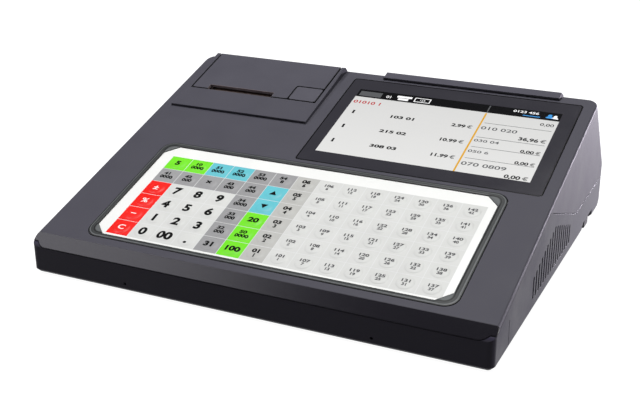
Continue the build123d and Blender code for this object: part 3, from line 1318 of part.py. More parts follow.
with BuildPart() as pop_up_guide:
    floor_z = FOOT_PROUD + WALL
    for edge_x, side in ((POP_LEFT - RAIL_FIT, -1), (POP_RIGHT + RAIL_FIT, 1)):
        outer_x = edge_x + side * RAIL_WIDTH
        low_x, high_x = min(edge_x, outer_x), max(edge_x, outer_x)
        add(box_between((low_x, high_x), (FRONT + POP_FRONT, FRONT + POP_BACK), (floor_z, RAIL_TOP)))
        groove_x = edge_x + side * (TONGUE_WIDTH + RAIL_FIT)
        low_x, high_x = min(edge_x, groove_x), max(edge_x, groove_x)
        groove_half = TONGUE_THICK / 2 + RAIL_FIT
        add(box_between((low_x, high_x), (tongue_y - groove_half, tongue_y + groove_half),
                        (FOOT_PROUD + POP_FOOT - RAIL_FIT, RAIL_TOP)), mode=Mode.SUBTRACT)
    add(box_between((POP_LEFT - RAIL_FIT, POP_RIGHT + RAIL_FIT), (FRONT + POP_FRONT, FRONT + POP_BACK),
                    (FOOT_PROUD + POP_FOOT - RAIL_FIT - RAIL_FOOT, FOOT_PROUD + POP_FOOT - RAIL_FIT)))
finish(pop_up_guide, "pop_up_guide")

# ---- main board and what stands on it -------------------------------------------------
def on_board(place):
    return (BOARD_LEFT + place[0], FRONT + BOARD_FRONT + place[1])


with BuildPart() as main_board:
    with BuildSketch(Plane.XY.offset(BOARD_HEIGHT)):
        with Locations(((BOARD_LEFT + BOARD_RIGHT) / 2, FRONT + (BOARD_FRONT + BOARD_BACK) / 2)):
            Rectangle(BOARD_RIGHT - BOARD_LEFT, BOARD_BACK - BOARD_FRONT)
        with Locations(*BOARD_SCREW_PLACES):
            stub(BOARD_SCREW_RADIUS + FIT, mode=Mode.SUBTRACT)
    extrude(amount=BOARD_THICK)
    with BuildSketch(Plane.XY.offset(BOARD_TOP)):
        with Locations(on_board(PROCESSOR_PLACE)):
            Rectangle(PROCESSOR_SIZE, PROCESSOR_SIZE)
        with Locations(on_board(MEMORY_PLACE)):
            with GridLocations(0, MEMORY_PITCH, 1, 2):
                Rectangle(*MEMORY_SIZE)
        with Locations(on_board(POWER_CHIP_PLACE)):
            Rectangle(POWER_CHIP_SIZE, POWER_CHIP_SIZE)
    extrude(amount=CHIP_HEIGHT)
finish(main_board, "main_board")

with BuildPart() as backup_battery:
    with BuildSketch(Plane.XY.offset(BOARD_TOP)):
        with Locations(on_board(BATTERY_PLACE)):
            stub(BATTERY_RADIUS, 2 * SMALL_SIDES)
    extrude(amount=BATTERY_HEIGHT)
finish(backup_battery, "backup_battery")

with BuildPart() as buzzer:
    with BuildSketch(Plane.XY.offset(BOARD_TOP)):
        with Locations(on_board(BUZZER_PLACE)):
            stub(BUZZER_RADIUS, 2 * SMALL_SIDES)
            stub(BUZZER_HOLE, mode=Mode.SUBTRACT)
    extrude(amount=BUZZER_HEIGHT)
finish(buzzer, "buzzer")


def socket_shell(name):
    x, size = SOCKETS[name]
    face = FRONT + SOCKET_FACE
    return box_between((x - size[0] / 2, x + size[0] / 2), (face - size[1], face),
                       (BOARD_TOP, BOARD_TOP + size[2]))


def socket_cavity(name, opening, low):
    x = SOCKETS[name][0]
    face = FRONT + SOCKET_FACE
    return box_between((x - opening[0] / 2, x + opening[0] / 2), (face - opening[2], face + 1),
                       (BOARD_TOP + low, BOARD_TOP + low + opening[1]))


with BuildPart() as power_jack:
    add(socket_shell("power_jack"))
    with BuildSketch(Plane.XZ.offset(-FRONT - SOCKET_FACE)):
        with Locations((SOCKETS["power_jack"][0], BOARD_TOP + JACK_SIZE[2] / 2)):
            stub(JACK_BORE, 2 * SMALL_SIDES)
            stub(JACK_PIN, mode=Mode.SUBTRACT)
    extrude(amount=JACK_SIZE[1] - JACK_BACK, mode=Mode.SUBTRACT)
finish(power_jack, "power_jack")

with BuildPart() as usb_port:
    add(socket_shell("usb_port"))
    usb_depth = USB_SIZE[1] - USB_BACK
    usb_inside = (USB_SIZE[0] - 2 * SOCKET_SKIN, USB_SIZE[2] - 2 * SOCKET_SKIN, usb_depth)
    add(socket_cavity("usb_port", usb_inside, SOCKET_SKIN), mode=Mode.SUBTRACT)
    tongue_inside = (USB_SIZE[0] - 5 * SOCKET_SKIN, USB_TONGUE, usb_depth + SOCKET_SKIN)
    add(socket_cavity("usb_port", tongue_inside, USB_TONGUE_LIFT) & socket_shell("usb_port"))
finish(usb_port, "usb_port")

with BuildPart() as network_port:
    add(socket_shell("network_port"))
    add(socket_cavity("network_port", NETWORK_OPENING, 2 * SOCKET_SKIN), mode=Mode.SUBTRACT)
finish(network_port, "network_port")

with BuildPart() as drawer_port:
    add(socket_shell("drawer_port"))
    add(socket_cavity("drawer_port", DRAWER_OPENING, 2 * SOCKET_SKIN), mode=Mode.SUBTRACT)
finish(drawer_port, "drawer_port")

with BuildPart() as serial_port:
    add(socket_shell("serial_port"))
    serial_x = SOCKETS["serial_port"][0]
    serial_mid = BOARD_TOP + SERIAL_SIZE[2] / 2
    with BuildSketch(Plane.XZ.offset(-FRONT - SOCKET_FACE)):
        with Locations((serial_x, serial_mid)):
            Trapezoid(SERIAL_SHELL[0], SERIAL_SHELL[1], 80, rotation=180)
    extrude(amount=SERIAL_SHELL[2], mode=Mode.SUBTRACT)
    with BuildSketch(Plane.XZ.offset(-FRONT - SOCKET_FACE + SERIAL_SHELL[2])):
        for row, count in ((1, 5), (-1, 4)):
            with Locations((serial_x, serial_mid + row * SERIAL_PIN_PITCH / 2)):
                with GridLocations(SERIAL_PIN_PITCH, 0, count, 1):
                    Rectangle(SERIAL_PIN, SERIAL_PIN)
    extrude(amount=-SERIAL_SHELL[2])
finish(serial_port, "serial_port")

# ---- power switch in the rear wall ----------------------------------------------------
SWITCH_UP = SWITCH_HEIGHT - TAIL_HEIGHT - FOOT_PROUD


def switch_side():
    """Plane square to X at the switch: local x up the rear wall, local y out of it."""
    flat = tail_plane()
    centre = flat.from_local_coords(Vector(-SWITCH_X, SWITCH_UP, 0))
    return Plane(origin=centre, x_dir=flat.y_dir, z_dir=flat.y_dir.cross(flat.z_dir))


with BuildPart() as switch_housing:
    with BuildSketch(tail_plane()):
        with Locations((-SWITCH_X, SWITCH_UP)):
            Rectangle(SWITCH_WIDTH + 2 * SWITCH_BEZEL, SWITCH_TALL + 2 * SWITCH_BEZEL)
    extrude(amount=SWITCH_BEZEL_THICK)
    with BuildSketch(tail_plane()):
        with Locations((-SWITCH_X, SWITCH_UP)):
            Rectangle(SWITCH_WIDTH, SWITCH_TALL)
    extrude(amount=-SWITCH_DEEP)
    with BuildSketch(tail_plane().offset(SWITCH_BEZEL_THICK)):
        with Locations((-SWITCH_X, SWITCH_UP)):
            Rectangle(SWITCH_WIDTH - 2 * SWITCH_RIM, SWITCH_TALL - 2 * SWITCH_RIM)
    extrude(amount=-(SWITCH_BEZEL_THICK + SWITCH_ROOM), mode=Mode.SUBTRACT)
    with BuildSketch(switch_side().offset(-SWITCH_WIDTH / 2)):
        Circle(PIVOT_RADIUS + FIT)
    extrude(amount=SWITCH_WIDTH, mode=Mode.SUBTRACT)
finish(switch_housing, "switch_housing")

rocker_width = SWITCH_WIDTH - 2 * (SWITCH_RIM + RAIL_FIT)
with BuildPart() as power_rocker:
    with BuildSketch(switch_side().offset(-rocker_width / 2)):
        with BuildLine():
            tip = SWITCH_TALL / 2 - SWITCH_RIM - ROCKER_GAP
            Polyline(
                (-tip + ROCKER_TAPER, -ROCKER_DEEP),
                (-tip, ROCKER_HIGH),
                (0, ROCKER_SADDLE),
                (tip, ROCKER_LOW),
                (tip - ROCKER_TAPER, -ROCKER_DEEP),
                close=True,
            )
        make_face()
    extrude(amount=rocker_width)
    with BuildSketch(switch_side().offset(-SWITCH_WIDTH / 2)):
        Circle(PIVOT_RADIUS)
    extrude(amount=SWITCH_WIDTH)
finish(power_rocker, "power_rocker")

# ---- feet and screws ------------------------------------------------------------------
with BuildPart() as rubber_feet:
    with BuildSketch(Plane.XY):
        with Locations((-FRONT_FOOT_X, FRONT + FRONT_FOOT_Y), (FRONT_FOOT_X, FRONT + FRONT_FOOT_Y)):
            stub(FRONT_FOOT_RADIUS - FIT, 2 * SMALL_SIDES)
    extrude(amount=FOOT_PROUD + FRONT_FOOT_SINK)
    for side in (-1, 1):
        foot_x = side * (WIDTH / 2 - REAR_FOOT_IN - REAR_FOOT_SIZE / 2)
        with BuildSketch(Plane.XY):
            with Locations((foot_x, FRONT + REAR_FOOT_START + REAR_FOOT_SIZE / 2)):
                Rectangle(REAR_FOOT_SIZE, REAR_FOOT_SIZE)
            chamfer(vertices(), REAR_FOOT_CORNER)
        extrude(amount=FOOT_PROUD + NOTCH_HEIGHT)
finish(rubber_feet, "rubber_feet")


def screws(places, seat, length, radius, head_radius, head_height, up):
    """Round-headed screws whose heads sit at height seat; up says which way they point."""
    with BuildPart() as group:
        with BuildSketch(Plane.XY.offset(seat)):
            with Locations(*places):
                stub(head_radius)
        extrude(amount=-up * head_height)
        with BuildSketch(Plane.XY.offset(seat)):
            with Locations(*places):
                stub(radius)
        extrude(amount=up * length)
    return group


case_screws = screws(SCREW_PLACES, FOOT_PROUD + SCREW_BORE_DEPTH, SCREW_LENGTH, SCREW_RADIUS,
                     SCREW_HEAD_RADIUS, SCREW_HEAD_HEIGHT, 1)
finish(case_screws, "case_screws")
board_screws = screws(BOARD_SCREW_PLACES, BOARD_TOP, BOARD_THICK + BOARD_SCREW_BITE, BOARD_SCREW_RADIUS,
                      BOARD_SCREW_HEAD, BOARD_SCREW_CAP, -1)
finish(board_screws, "board_screws")

# the axes that the moving pieces turn about, for whoever changes a size
for axis_name, centre in (("lid", HINGE), ("platen", PLATEN), ("idler", IDLER), ("motor", MOTOR),
                          ("roll", (TROUGH_S, roll_h))):
    print(axis_name, "turns about y, z =", deck_yz(*centre))
print("power rocker turns about", switch_side().origin, "release button slides along", -block_plane().z_dir)
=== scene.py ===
from math import cos, hypot, pi, radians, sin

import bmesh
import bpy
from mathutils import Matrix, Vector


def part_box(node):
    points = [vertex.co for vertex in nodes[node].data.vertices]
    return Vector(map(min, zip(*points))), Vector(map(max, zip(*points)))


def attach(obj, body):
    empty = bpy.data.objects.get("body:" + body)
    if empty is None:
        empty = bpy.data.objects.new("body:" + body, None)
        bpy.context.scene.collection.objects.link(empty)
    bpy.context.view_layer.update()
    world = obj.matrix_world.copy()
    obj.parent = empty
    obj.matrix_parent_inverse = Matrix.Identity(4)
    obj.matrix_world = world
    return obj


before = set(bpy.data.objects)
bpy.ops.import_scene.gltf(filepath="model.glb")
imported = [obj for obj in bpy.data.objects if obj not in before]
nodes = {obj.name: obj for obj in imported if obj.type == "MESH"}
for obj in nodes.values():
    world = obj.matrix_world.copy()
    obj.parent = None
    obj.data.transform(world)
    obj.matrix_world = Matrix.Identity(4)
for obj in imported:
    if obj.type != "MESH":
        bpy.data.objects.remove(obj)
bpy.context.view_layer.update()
MM = 0.001

# ---- places on the sloping deck: x across, s up the slope, h above it, all in mm -------
SLOPE = radians(16.08)
DECK_EDGE = Vector((0, -0.1482, 0.0306))
ALONG = Vector((0, cos(SLOPE), sin(SLOPE)))
UPRIGHT = Vector((0, -sin(SLOPE), cos(SLOPE)))


def on_deck(x, s, h):
    """A place over the deck, in metres in the shared frame."""
    return DECK_EDGE + MM * (Vector((x, 0, 0)) + s * ALONG + h * UPRIGHT)


# ---- steps of a material ---------------------------------------------------------------
def add(tree, kind, **settings):
    """A new shader node with its settings."""
    node = tree.nodes.new("ShaderNode" + kind)
    for setting, value in settings.items():
        setattr(node, setting, value)
    return node


def put(tree, socket, value):
    """Gives an input a fixed value, or links another node's output to it."""
    if isinstance(value, bpy.types.NodeSocket):
        tree.links.new(value, socket)
    else:
        socket.default_value = value


def current(socket):
    """What an input has so far: the output that is linked to it, or its fixed value."""
    return socket.links[0].from_socket if socket.is_linked else socket.default_value


def place(tree):
    """The place on the piece, in metres, as it lies in the shared frame at rest."""
    return add(tree, "TexCoord").outputs["Object"]


def axes(tree):
    """The X, Y and Z of the place on the piece."""
    split = add(tree, "SeparateXYZ")
    put(tree, split.inputs["Vector"], place(tree))
    return split.outputs


def moved(tree, vector, **changes):
    """A vector that is moved, turned or scaled."""
    step = add(tree, "Mapping")
    put(tree, step.inputs["Vector"], vector)
    for change, value in changes.items():
        step.inputs[change].default_value = value
    return step.outputs["Vector"]


def noise(tree, vector, scale, detail):
    step = add(tree, "TexNoise")
    put(tree, step.inputs["Vector"], vector)
    step.inputs["Scale"].default_value = scale
    step.inputs["Detail"].default_value = detail
    return step.outputs["Fac"]


def remap(tree, value, low, high, new_low=0.0, new_high=1.0):
    """A value between low and high, brought between new_low and new_high and held there."""
    step = add(tree, "MapRange")
    for socket, setting in (("Value", value), ("From Min", low), ("From Max", high),
                            ("To Min", new_low), ("To Max", new_high)):
        put(tree, step.inputs[socket], setting)
    return step.outputs["Result"]


def combine(tree, operation, a, b):
    """Two numbers combined by a Math node."""
    step = add(tree, "Math", operation=operation)
    put(tree, step.inputs[0], a)
    put(tree, step.inputs[1], b)
    return step.outputs[0]


def vector_step(tree, operation, a, b=None):
    """One vector changed, or two combined, by a VectorMath node; a length and a dot product are numbers."""
    step = add(tree, "VectorMath", operation=operation)
    put(tree, step.inputs[0], a)
    if b is not None:
        put(tree, step.inputs[1], b)
    return step.outputs["Value" if operation in ("LENGTH", "DOT_PRODUCT") else "Vector"]


def mix(tree, share, a, b, kind="RGBA", blend="MIX"):
    """From a to b by a share; kind is RGBA for colours and FLOAT for numbers."""
    step = add(tree, "Mix", data_type=kind, blend_type=blend)
    for socket, setting in (("Factor", share), ("A", a), ("B", b)):
        put(tree, step.inputs[socket], setting)
    return step.outputs["Result"]


def ramp(tree, value, stops):
    """A colour for each value; a stop is a value and its colour."""
    step = add(tree, "ValToRGB")
    elements = step.color_ramp.elements
    while len(elements) < len(stops):
        elements.new(1.0)
    for element, (position, colour) in zip(elements, stops):
        element.position = position
        element.color = (*colour, 1)
    put(tree, step.inputs["Fac"], value)
    return step.outputs["Color"]


def multiply_colour(material, factor):
    """Multiplies the colour that a material has so far."""
    tree = material.node_tree
    target = tree.nodes["Principled BSDF"].inputs["Base Color"]
    put(tree, target, mix(tree, 1.0, current(target), factor, blend="MULTIPLY"))


# ---- materials -------------------------------------------------------------------------
# scale of the slow noise that changes colour and roughness, and where the ends of both changes lie in it
CLOUD = 40.0
NOISE_LOW, NOISE_HIGH = 0.3, 0.7
FINE_DETAIL, SLOW_DETAIL = 3.0, 4.0
BEVEL_SAMPLES = 6
# wear grows while the dot product of the face's own normal and the rounded one falls from start to full
WEAR_START, WEAR_FULL = 0.995, 0.80
# a worn edge has more white in it, and more of the colour
WORN_WHITE, WORN_COLOUR = 0.10, 1.8


def surface(name, colour, rough, grain, depth, swing=0.05, rough_swing=0.06, wear=0.0, edge=0.5,
            stretch=(1, 1, 1), **sockets):
    """A solid surface: fine relief, slow colour and roughness changes, rounded and slightly worn edges.

    The relief is a noise of the scale grain, depth mm deep; edge is the radius of the rounding in mm.
    """
    material = bpy.data.materials.new(name)
    material.use_nodes = True
    tree = material.node_tree
    shader = tree.nodes["Principled BSDF"]
    spread = moved(tree, place(tree), Scale=stretch)
    fine = noise(tree, spread, grain, FINE_DETAIL)
    slow = noise(tree, spread, CLOUD, SLOW_DETAIL)
    rounded = add(tree, "Bevel", samples=BEVEL_SAMPLES)
    rounded.inputs["Radius"].default_value = edge * MM

    tint = ramp(tree, slow, [(position, [min(1.0, channel * factor) for channel in colour])
                             for position, factor in ((NOISE_LOW, 1 - swing), (NOISE_HIGH, 1 + swing))])
    if wear:
        face = add(tree, "NewGeometry").outputs["Normal"]
        turn = vector_step(tree, "DOT_PRODUCT", rounded.outputs["Normal"], face)
        rubbed = remap(tree, turn, WEAR_START, WEAR_FULL, 0.0, wear)
        worn = [min(1.0, WORN_WHITE + WORN_COLOUR * channel) for channel in colour]
        tint = mix(tree, rubbed, tint, (*worn, 1))
    put(tree, shader.inputs["Base Color"], tint)
    gloss = remap(tree, slow, NOISE_LOW, NOISE_HIGH, rough - rough_swing, rough + rough_swing)
    put(tree, shader.inputs["Roughness"], gloss)

    relief = add(tree, "Bump")
    relief.inputs["Strength"].default_value = 1.0
    relief.inputs["Distance"].default_value = depth * MM
    put(tree, relief.inputs["Height"], fine)
    put(tree, relief.inputs["Normal"], rounded.outputs["Normal"])
    put(tree, shader.inputs["Normal"], relief.outputs["Normal"])
    for socket, value in sockets.items():
        shader.inputs[socket.replace("_", " ")].default_value = value
    return material


def srgb(red, green, blue):
    """Scene-linear colour for 0-255 display values."""
    def linear(value):
        value /= 255
        return value / 12.92 if value <= 0.04045 else ((value + 0.055) / 1.055) ** 2.4
    return tuple(linear(value) for value in (red, green, blue))


def painted(material, masks, colour, rough, specular):
    """Another colour and gloss where every mask is 1; a mask is an axis with its places of 0 and of 1."""
    tree = material.node_tree
    shader = tree.nodes["Principled BSDF"]
    position = axes(tree)
    share = 1.0
    for axis, start, end in masks:
        share = combine(tree, "MULTIPLY", remap(tree, position[axis], start, end), share)
    for socket, value, kind in (("Base Color", (*colour, 1), "RGBA"), ("Roughness", rough, "FLOAT"),
                                ("Specular IOR Level", specular, "FLOAT")):
        target = shader.inputs[socket]
        put(tree, target, mix(tree, share, current(target), value, kind))


def outlined(material, middle, size, corner, shades):
    """Lines along a rounded outline on the deck: factors of the colour by the distance inside it, in mm."""
    tree = material.node_tree
    start = on_deck(*middle, 0) / MM
    flat = moved(tree, place(tree), Scale=(1 / MM, 1 / MM, 1 / MM), Rotation=(-SLOPE, 0, 0),
                 Location=(-start.x, -start.dot(ALONG), -start.dot(UPRIGHT)))
    beyond = vector_step(tree, "ABSOLUTE", flat)
    beyond = vector_step(tree, "SUBTRACT", beyond, (size[0] / 2 - corner, size[1] / 2 - corner, 0))
    beyond = vector_step(tree, "MAXIMUM", beyond, (0, 0, 0.001))
    beyond = vector_step(tree, "MULTIPLY", beyond, (1, 1, 0))
    inward = remap(tree, vector_step(tree, "LENGTH", beyond), corner, 0)
    multiply_colour(material, ramp(tree, inward, [
        (distance / corner, factor if isinstance(factor, tuple) else (factor, factor, factor))
        for distance, factor in shades]))


def plastic(name, colour, rough, wear, specular):
    """The case's matt plastic, with a fine eroded grain."""
    return surface(name, colour, rough, grain=2600, depth=0.02, swing=0.03, wear=wear,
                   Specular_IOR_Level=specular)


CASE = plastic("case_plastic", srgb(67, 66, 74), rough=0.56, wear=0.2, specular=0.2)
# the tray's plastic is the case's plastic made darker, as painted shade
BASE = plastic("base_plastic", srgb(45, 42, 57), rough=0.40, wear=0.15, specular=0.08)
LID = plastic("lid_plastic", srgb(72, 71, 79), rough=0.46, wear=0.35, specular=0.2)
# the pop-up housing has the case's plastic, made lighter as painted light
LIP = plastic("lip_plastic", srgb(78, 77, 85), rough=0.60, wear=0.1, specular=0.03)
BUTTON = plastic("button_plastic", srgb(76, 75, 83), rough=0.46, wear=0.35, specular=0.2)
# the numbers of each surface are its roughness, the scale of its grain and the depth of its grain in mm
RIM = surface("rim_plastic", srgb(120, 124, 124), 0.36, 900, 0.01, swing=0.06, Specular_IOR_Level=0.25)
FILM = surface("film_white", srgb(229, 230, 226), 0.34, 700, 0.008, swing=0.012,
               Coat_Weight=0.25, Coat_Roughness=0.2)
STEEL = surface("sheet_steel", (0.55, 0.55, 0.56), 0.34, 500, 0.01, swing=0.08, stretch=(1, 12, 1),
                wear=0.2, Metallic=1.0)
SHELL = surface("socket_steel", (0.27, 0.27, 0.28), 0.45, 500, 0.01, swing=0.08, wear=0.2, Metallic=1.0)
PIN = surface("turned_steel", (0.58, 0.58, 0.59), 0.28, 900, 0.008, swing=0.06, stretch=(14, 1, 1),
              wear=0.2, Metallic=1.0)
ALUMINIUM = surface("aluminium", (0.70, 0.70, 0.72), 0.32, 700, 0.01, swing=0.06, stretch=(1, 10, 1),
                    Metallic=1.0)
BLADE = surface("cutter_bronze", srgb(84, 66, 54), 0.42, 800, 0.01, swing=0.15, wear=0.4, Metallic=0.7)
GLASS = surface("glass_border", srgb(45, 44, 50), 0.2, 60, 0.004, swing=0.03, rough_swing=0.03, edge=0.3,
                wear=0.3, Specular_IOR_Level=0.35)
FOAM = surface("foam", (0.03, 0.03, 0.03), 0.9, 1800, 0.15)
TUB = surface("tub_plastic", srgb(38, 36, 38), 0.5, 1500, 0.02, wear=0.15)
RUBBER = surface("rubber", (0.018, 0.018, 0.019), 0.72, 1400, 0.03, wear=0.1)
PLATEN = surface("platen_rubber", srgb(104, 86, 78), 0.62, 1600, 0.02, stretch=(1, 6, 6))
ACETAL = surface("acetal", srgb(226, 222, 208), 0.42, 500, 0.01, swing=0.03, Subsurface_Weight=0.05)
SMOKED = surface("smoked_window", (0.010, 0.010, 0.013), 0.10, 60, 0.003, rough_swing=0.02, Coat_Weight=0.5)
BLACK = surface("gloss_black", (0.014, 0.014, 0.015), 0.22, 300, 0.004, rough_swing=0.05, wear=0.15)
SOCKET = surface("socket_black", (0.020, 0.020, 0.021), 0.5, 900, 0.01, wear=0.1)
BOARD = surface("circuit_board", (0.012, 0.10, 0.045), 0.35, 260, 0.03, swing=0.25, Coat_Weight=0.3)
CORE = surface("cardboard", srgb(168, 140, 104), 0.85, 900, 0.05, swing=0.1, stretch=(1, 4, 4))

# light and shade of the photograph, as colour, with its places in metres: the front is darker, the rear of
# the printer block's right side is duller, and the tray's sides get lighter towards the rear
CASE_FRONT = [("Y", -0.1480, -0.1486)]
BLOCK_SIDE = [("X", -0.0430, -0.0420), ("X", -0.0370, -0.0385), ("Y", 0.085, 0.100), ("Z", 0.098, 0.102)]
TRAY_REAR = [("Y", -0.06, 0.12)]
TRAY_FRONT = [("Y", -0.1562, -0.1572)]
painted(CASE, CASE_FRONT, srgb(18, 16, 24), rough=0.26, specular=0.2)
painted(CASE, BLOCK_SIDE, srgb(64, 63, 70), rough=0.8, specular=0.03)
painted(BASE, TRAY_REAR, srgb(54, 51, 67), rough=0.40, specular=0.2)
painted(BASE, TRAY_FRONT, srgb(33, 31, 40), rough=0.5, specular=0.1)

# painted shade in the gap round each piece that lies in the deck, as a dark line; painted highlight and
# shade draw a bead, a groove and an inner edge on the rim; the lid's outline runs on beyond its rear edge;
# and the wall of the lid's paper slot is painted lighter and brown, as painted light
LID_GAP_SHADE = [(0.0, 0.04), (0.55, 0.06), (0.8, 1.0)]
BUTTON_GAP_SHADE = [(0.0, 0.04), (0.5, 0.06), (0.75, 1.0)]
GLASS_GAP_SHADE = [(0.0, 0.02), (0.7, 0.05), (1.0, 1.0)]
# painted highlight and shade on the rim, that draw its bead, groove and inner edge
RIM_HIGHLIGHT_AND_SHADE = [(0.0, 0.02), (0.7, 0.03), (1.1, 0.55), (1.6, 0.55), (2.1, 0.16), (3.6, 0.22), (4.3, 0.03),
             (4.9, 0.10), (5.6, 0.55)]
# painted light: the wall of the lid's paper slot is made lighter and brown
SLOT_WALL_PAINTED_LIGHT = [(0.0, 1.0), (0.1, (2.8, 2.3, 1.9))]
outlined(LID, middle=(-105.55, 260), size=(119.9, 93.4), corner=2.4, shades=LID_GAP_SHADE)
outlined(BUTTON, middle=(-58.3, 223.5), size=(25.4, 20.4), corner=2.4, shades=BUTTON_GAP_SHADE)
outlined(GLASS, middle=(70.6, 199.3), size=(198, 125), corner=3, shades=GLASS_GAP_SHADE)
outlined(RIM, middle=(2.4, 69.8), size=(291.9, 126), corner=11, shades=RIM_HIGHLIGHT_AND_SHADE)
outlined(LID, middle=(-118.3, 216.6), size=(63.3, 7.0), corner=1, shades=SLOT_WALL_PAINTED_LIGHT)

DARKEST_RING = 0.82


def wound_paper(name, colour, axis_y, axis_z):
    """Thermal paper wound round an axis along X: its layers show as fine rings on the ends of the roll."""
    material = surface(name, colour, rough=0.7, grain=1500, depth=0.01, swing=0.02)
    tree = material.node_tree
    rings = add(tree, "TexWave", wave_type="RINGS", rings_direction="X")
    rings.inputs["Scale"].default_value = 700
    rings.inputs["Distortion"].default_value = 1.5
    put(tree, rings.inputs["Vector"], moved(tree, place(tree), Location=(0, -axis_y, -axis_z)))
    multiply_colour(material, remap(tree, rings.outputs["Fac"], 0.0, 1.0, new_low=DARKEST_RING))
    return material


roll_low, roll_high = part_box("paper_roll")
PAPER = wound_paper("thermal_paper", srgb(238, 236, 230),
                    (roll_low.y + roll_high.y) / 2, (roll_low.z + roll_high.z) / 2)

FINISHES = {
    CASE: ["upper_cover"],
    LIP: ["pop_up_housing"],
    BASE: ["base_tray"],
    LID: ["printer_lid"],
    BUTTON: ["release_button"],
    RIM: ["keyboard_rim"],
    FILM: ["keyboard_cover", "legend_sheet", "switch_membrane"],
    STEEL: ["keyboard_plate", "display_bracket", "printer_frame", "printer_motor", "backup_battery",
            "case_screws", "board_screws"],
    SHELL: ["usb_port", "network_port", "serial_port"],
    PIN: ["lid_hinge_pin", "platen_shaft", "idler_stud"],
    ALUMINIUM: ["thermal_head"],
    BLADE: ["tear_bar"],
    GLASS: ["touch_glass"],
    FOAM: ["display_gasket"],
    TUB: ["paper_tub", "pop_up_guide"],
    RUBBER: ["rubber_feet"],
    PLATEN: ["platen_roller"],
    ACETAL: ["platen_gear", "idler_gear", "motor_pinion", "platen_bushes"],
    SMOKED: ["pop_up_window"],
    BLACK: ["display_panel", "pop_up_module", "switch_housing", "power_rocker"],
    SOCKET: ["buzzer", "power_jack", "drawer_port"],
    BOARD: ["main_board"],
    PAPER: ["paper_roll"],
    CORE: ["roll_core"],
}
for finish, names in FINISHES.items():
    for name in names:
        nodes[name].data.materials.clear()
        nodes[name].data.materials.append(finish)


# ---- meshes ----------------------------------------------------------------------------
def piece(name, vertices, faces, kinds, materials, smooth=False, body="case"):
    """A mesh of its own; kinds holds the number of each face's material."""
    mesh = bpy.data.meshes.new(name)
    mesh.from_pydata(vertices, [], faces)
    for material in materials:
        mesh.materials.append(material)
    mesh.polygons.foreach_set("material_index", kinds)
    mesh.polygons.foreach_set("use_smooth", [smooth] * len(mesh.polygons))
    mesh.update()
    obj = bpy.data.objects.new(name, mesh)
    bpy.context.scene.collection.objects.link(obj)
    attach(obj, body)


DISC_CORNERS = 20
TRIANGLE_BANDS = 6
# height of a digit as a share of the font's size, and how often long edges of the lettering are halved
DIGIT_HEIGHT = 0.7
HALVINGS = 3


class Shapes:
    """Flat shapes collected in deck coordinates (x, s) with one material index each."""

    def __init__(self):
        self.points, self.faces, self.kinds = [], [], []

    def polygon(self, corners, kind):
        first = len(self.points)
        self.points.extend(corners)
        self.faces.append(tuple(range(first, first + len(corners))))
        self.kinds.append(kind)

    def rectangle(self, x0, s0, x1, s1, kind):
        self.polygon([(x0, s0), (x1, s0), (x1, s1), (x0, s1)], kind)

    def frame(self, x0, s0, x1, s1, line, kind):
        self.rectangle(x0, s0, x1, s0 + line, kind)
        self.rectangle(x0, s1 - line, x1, s1, kind)
        self.rectangle(x0, s0 + line, x0 + line, s1 - line, kind)
        self.rectangle(x1 - line, s0 + line, x1, s1 - line, kind)

    def disc(self, x, s, radius, kind, end=2 * pi):
        """A disc, or the part of it from angle 0 to end."""
        turns = [end * i / DISC_CORNERS for i in range(DISC_CORNERS)]
        self.polygon([(x + radius * cos(turn), s + radius * sin(turn)) for turn in turns], kind)

    def triangle(self, x, s, half_width, half_height, kind):
        """A triangle in bands, so that it can follow a dome; it points down if half_height is negative."""
        side = half_width if half_height > 0 else -half_width
        levels = [band / TRIANGLE_BANDS for band in range(TRIANGLE_BANDS + 1)]
        for low, high in zip(levels, levels[1:]):
            self.polygon([(x + way * side * (1 - level), s - half_height * (1 - 2 * level))
                          for way, level in ((-1, low), (1, low), (1, high), (-1, high))], kind)

    def text(self, string, x, s, height, kind, bold, align="CENTER", width=1.0, finest=None):
        """Digits and signs of the given height, s at their middle; edges longer than finest are halved."""
        curve = bpy.data.curves.new("lettering", "FONT")
        curve.body = string
        curve.align_x = align
        curve.size = height / DIGIT_HEIGHT
        curve.offset = bold * height
        curve.resolution_u = 4
        holder = bpy.data.objects.new("lettering", curve)
        mesh = bpy.data.meshes.new_from_object(holder)
        shape = bmesh.new()
        shape.from_mesh(mesh)
        bmesh.ops.triangulate(shape, faces=shape.faces)
        if finest:
            for _ in range(HALVINGS):
                long_edges = [e for e in shape.edges if e.calc_length() > finest]
                if long_edges:
                    bmesh.ops.subdivide_edges(shape, edges=long_edges, cuts=1)
                    bmesh.ops.triangulate(shape, faces=shape.faces)
        first = len(self.points)
        self.points.extend((x + v.co.x * width, s + v.co.y - height / 2) for v in shape.verts)
        shape.verts.index_update()
        for face in shape.faces:
            self.faces.append(tuple(first + v.index for v in face.verts))
            self.kinds.append(kind)
        shape.free()
        bpy.data.objects.remove(holder)
        bpy.data.curves.remove(curve)
        bpy.data.meshes.remove(mesh)

    def build(self, name, height, materials):
        """height is a number of mm above the deck, or a function of x and s."""
        level = height if callable(height) else (lambda x, s: height)
        vertices = [on_deck(x, s, level(x, s)) for x, s in self.points]
        piece(name, vertices, self.faces, self.kinds, materials)


# ---- the keyboard's print: coloured fields that run over the domes, and their legends ----
KEY_COLUMNS, KEY_ROWS = 14, 6
KEY_PITCH = (18.893, 17.047)
KEYS_MIDDLE = (4.19, 64.7)
FILM_TOP = -0.4
DOME_RADIUS, DOME_HEIGHT = 7.0, 0.74
# a higher power makes a dome flatter on its top, and a higher shoulder makes it softer at its foot
DOME_POWER, DOME_SHOULDER = 7, 1.2
# the print lies this far above the film, and the marks this far above the print
PRINT_LIFT, MARK_LIFT = 0.02, 0.05
# width of the lines between the fields
LINE = 0.4


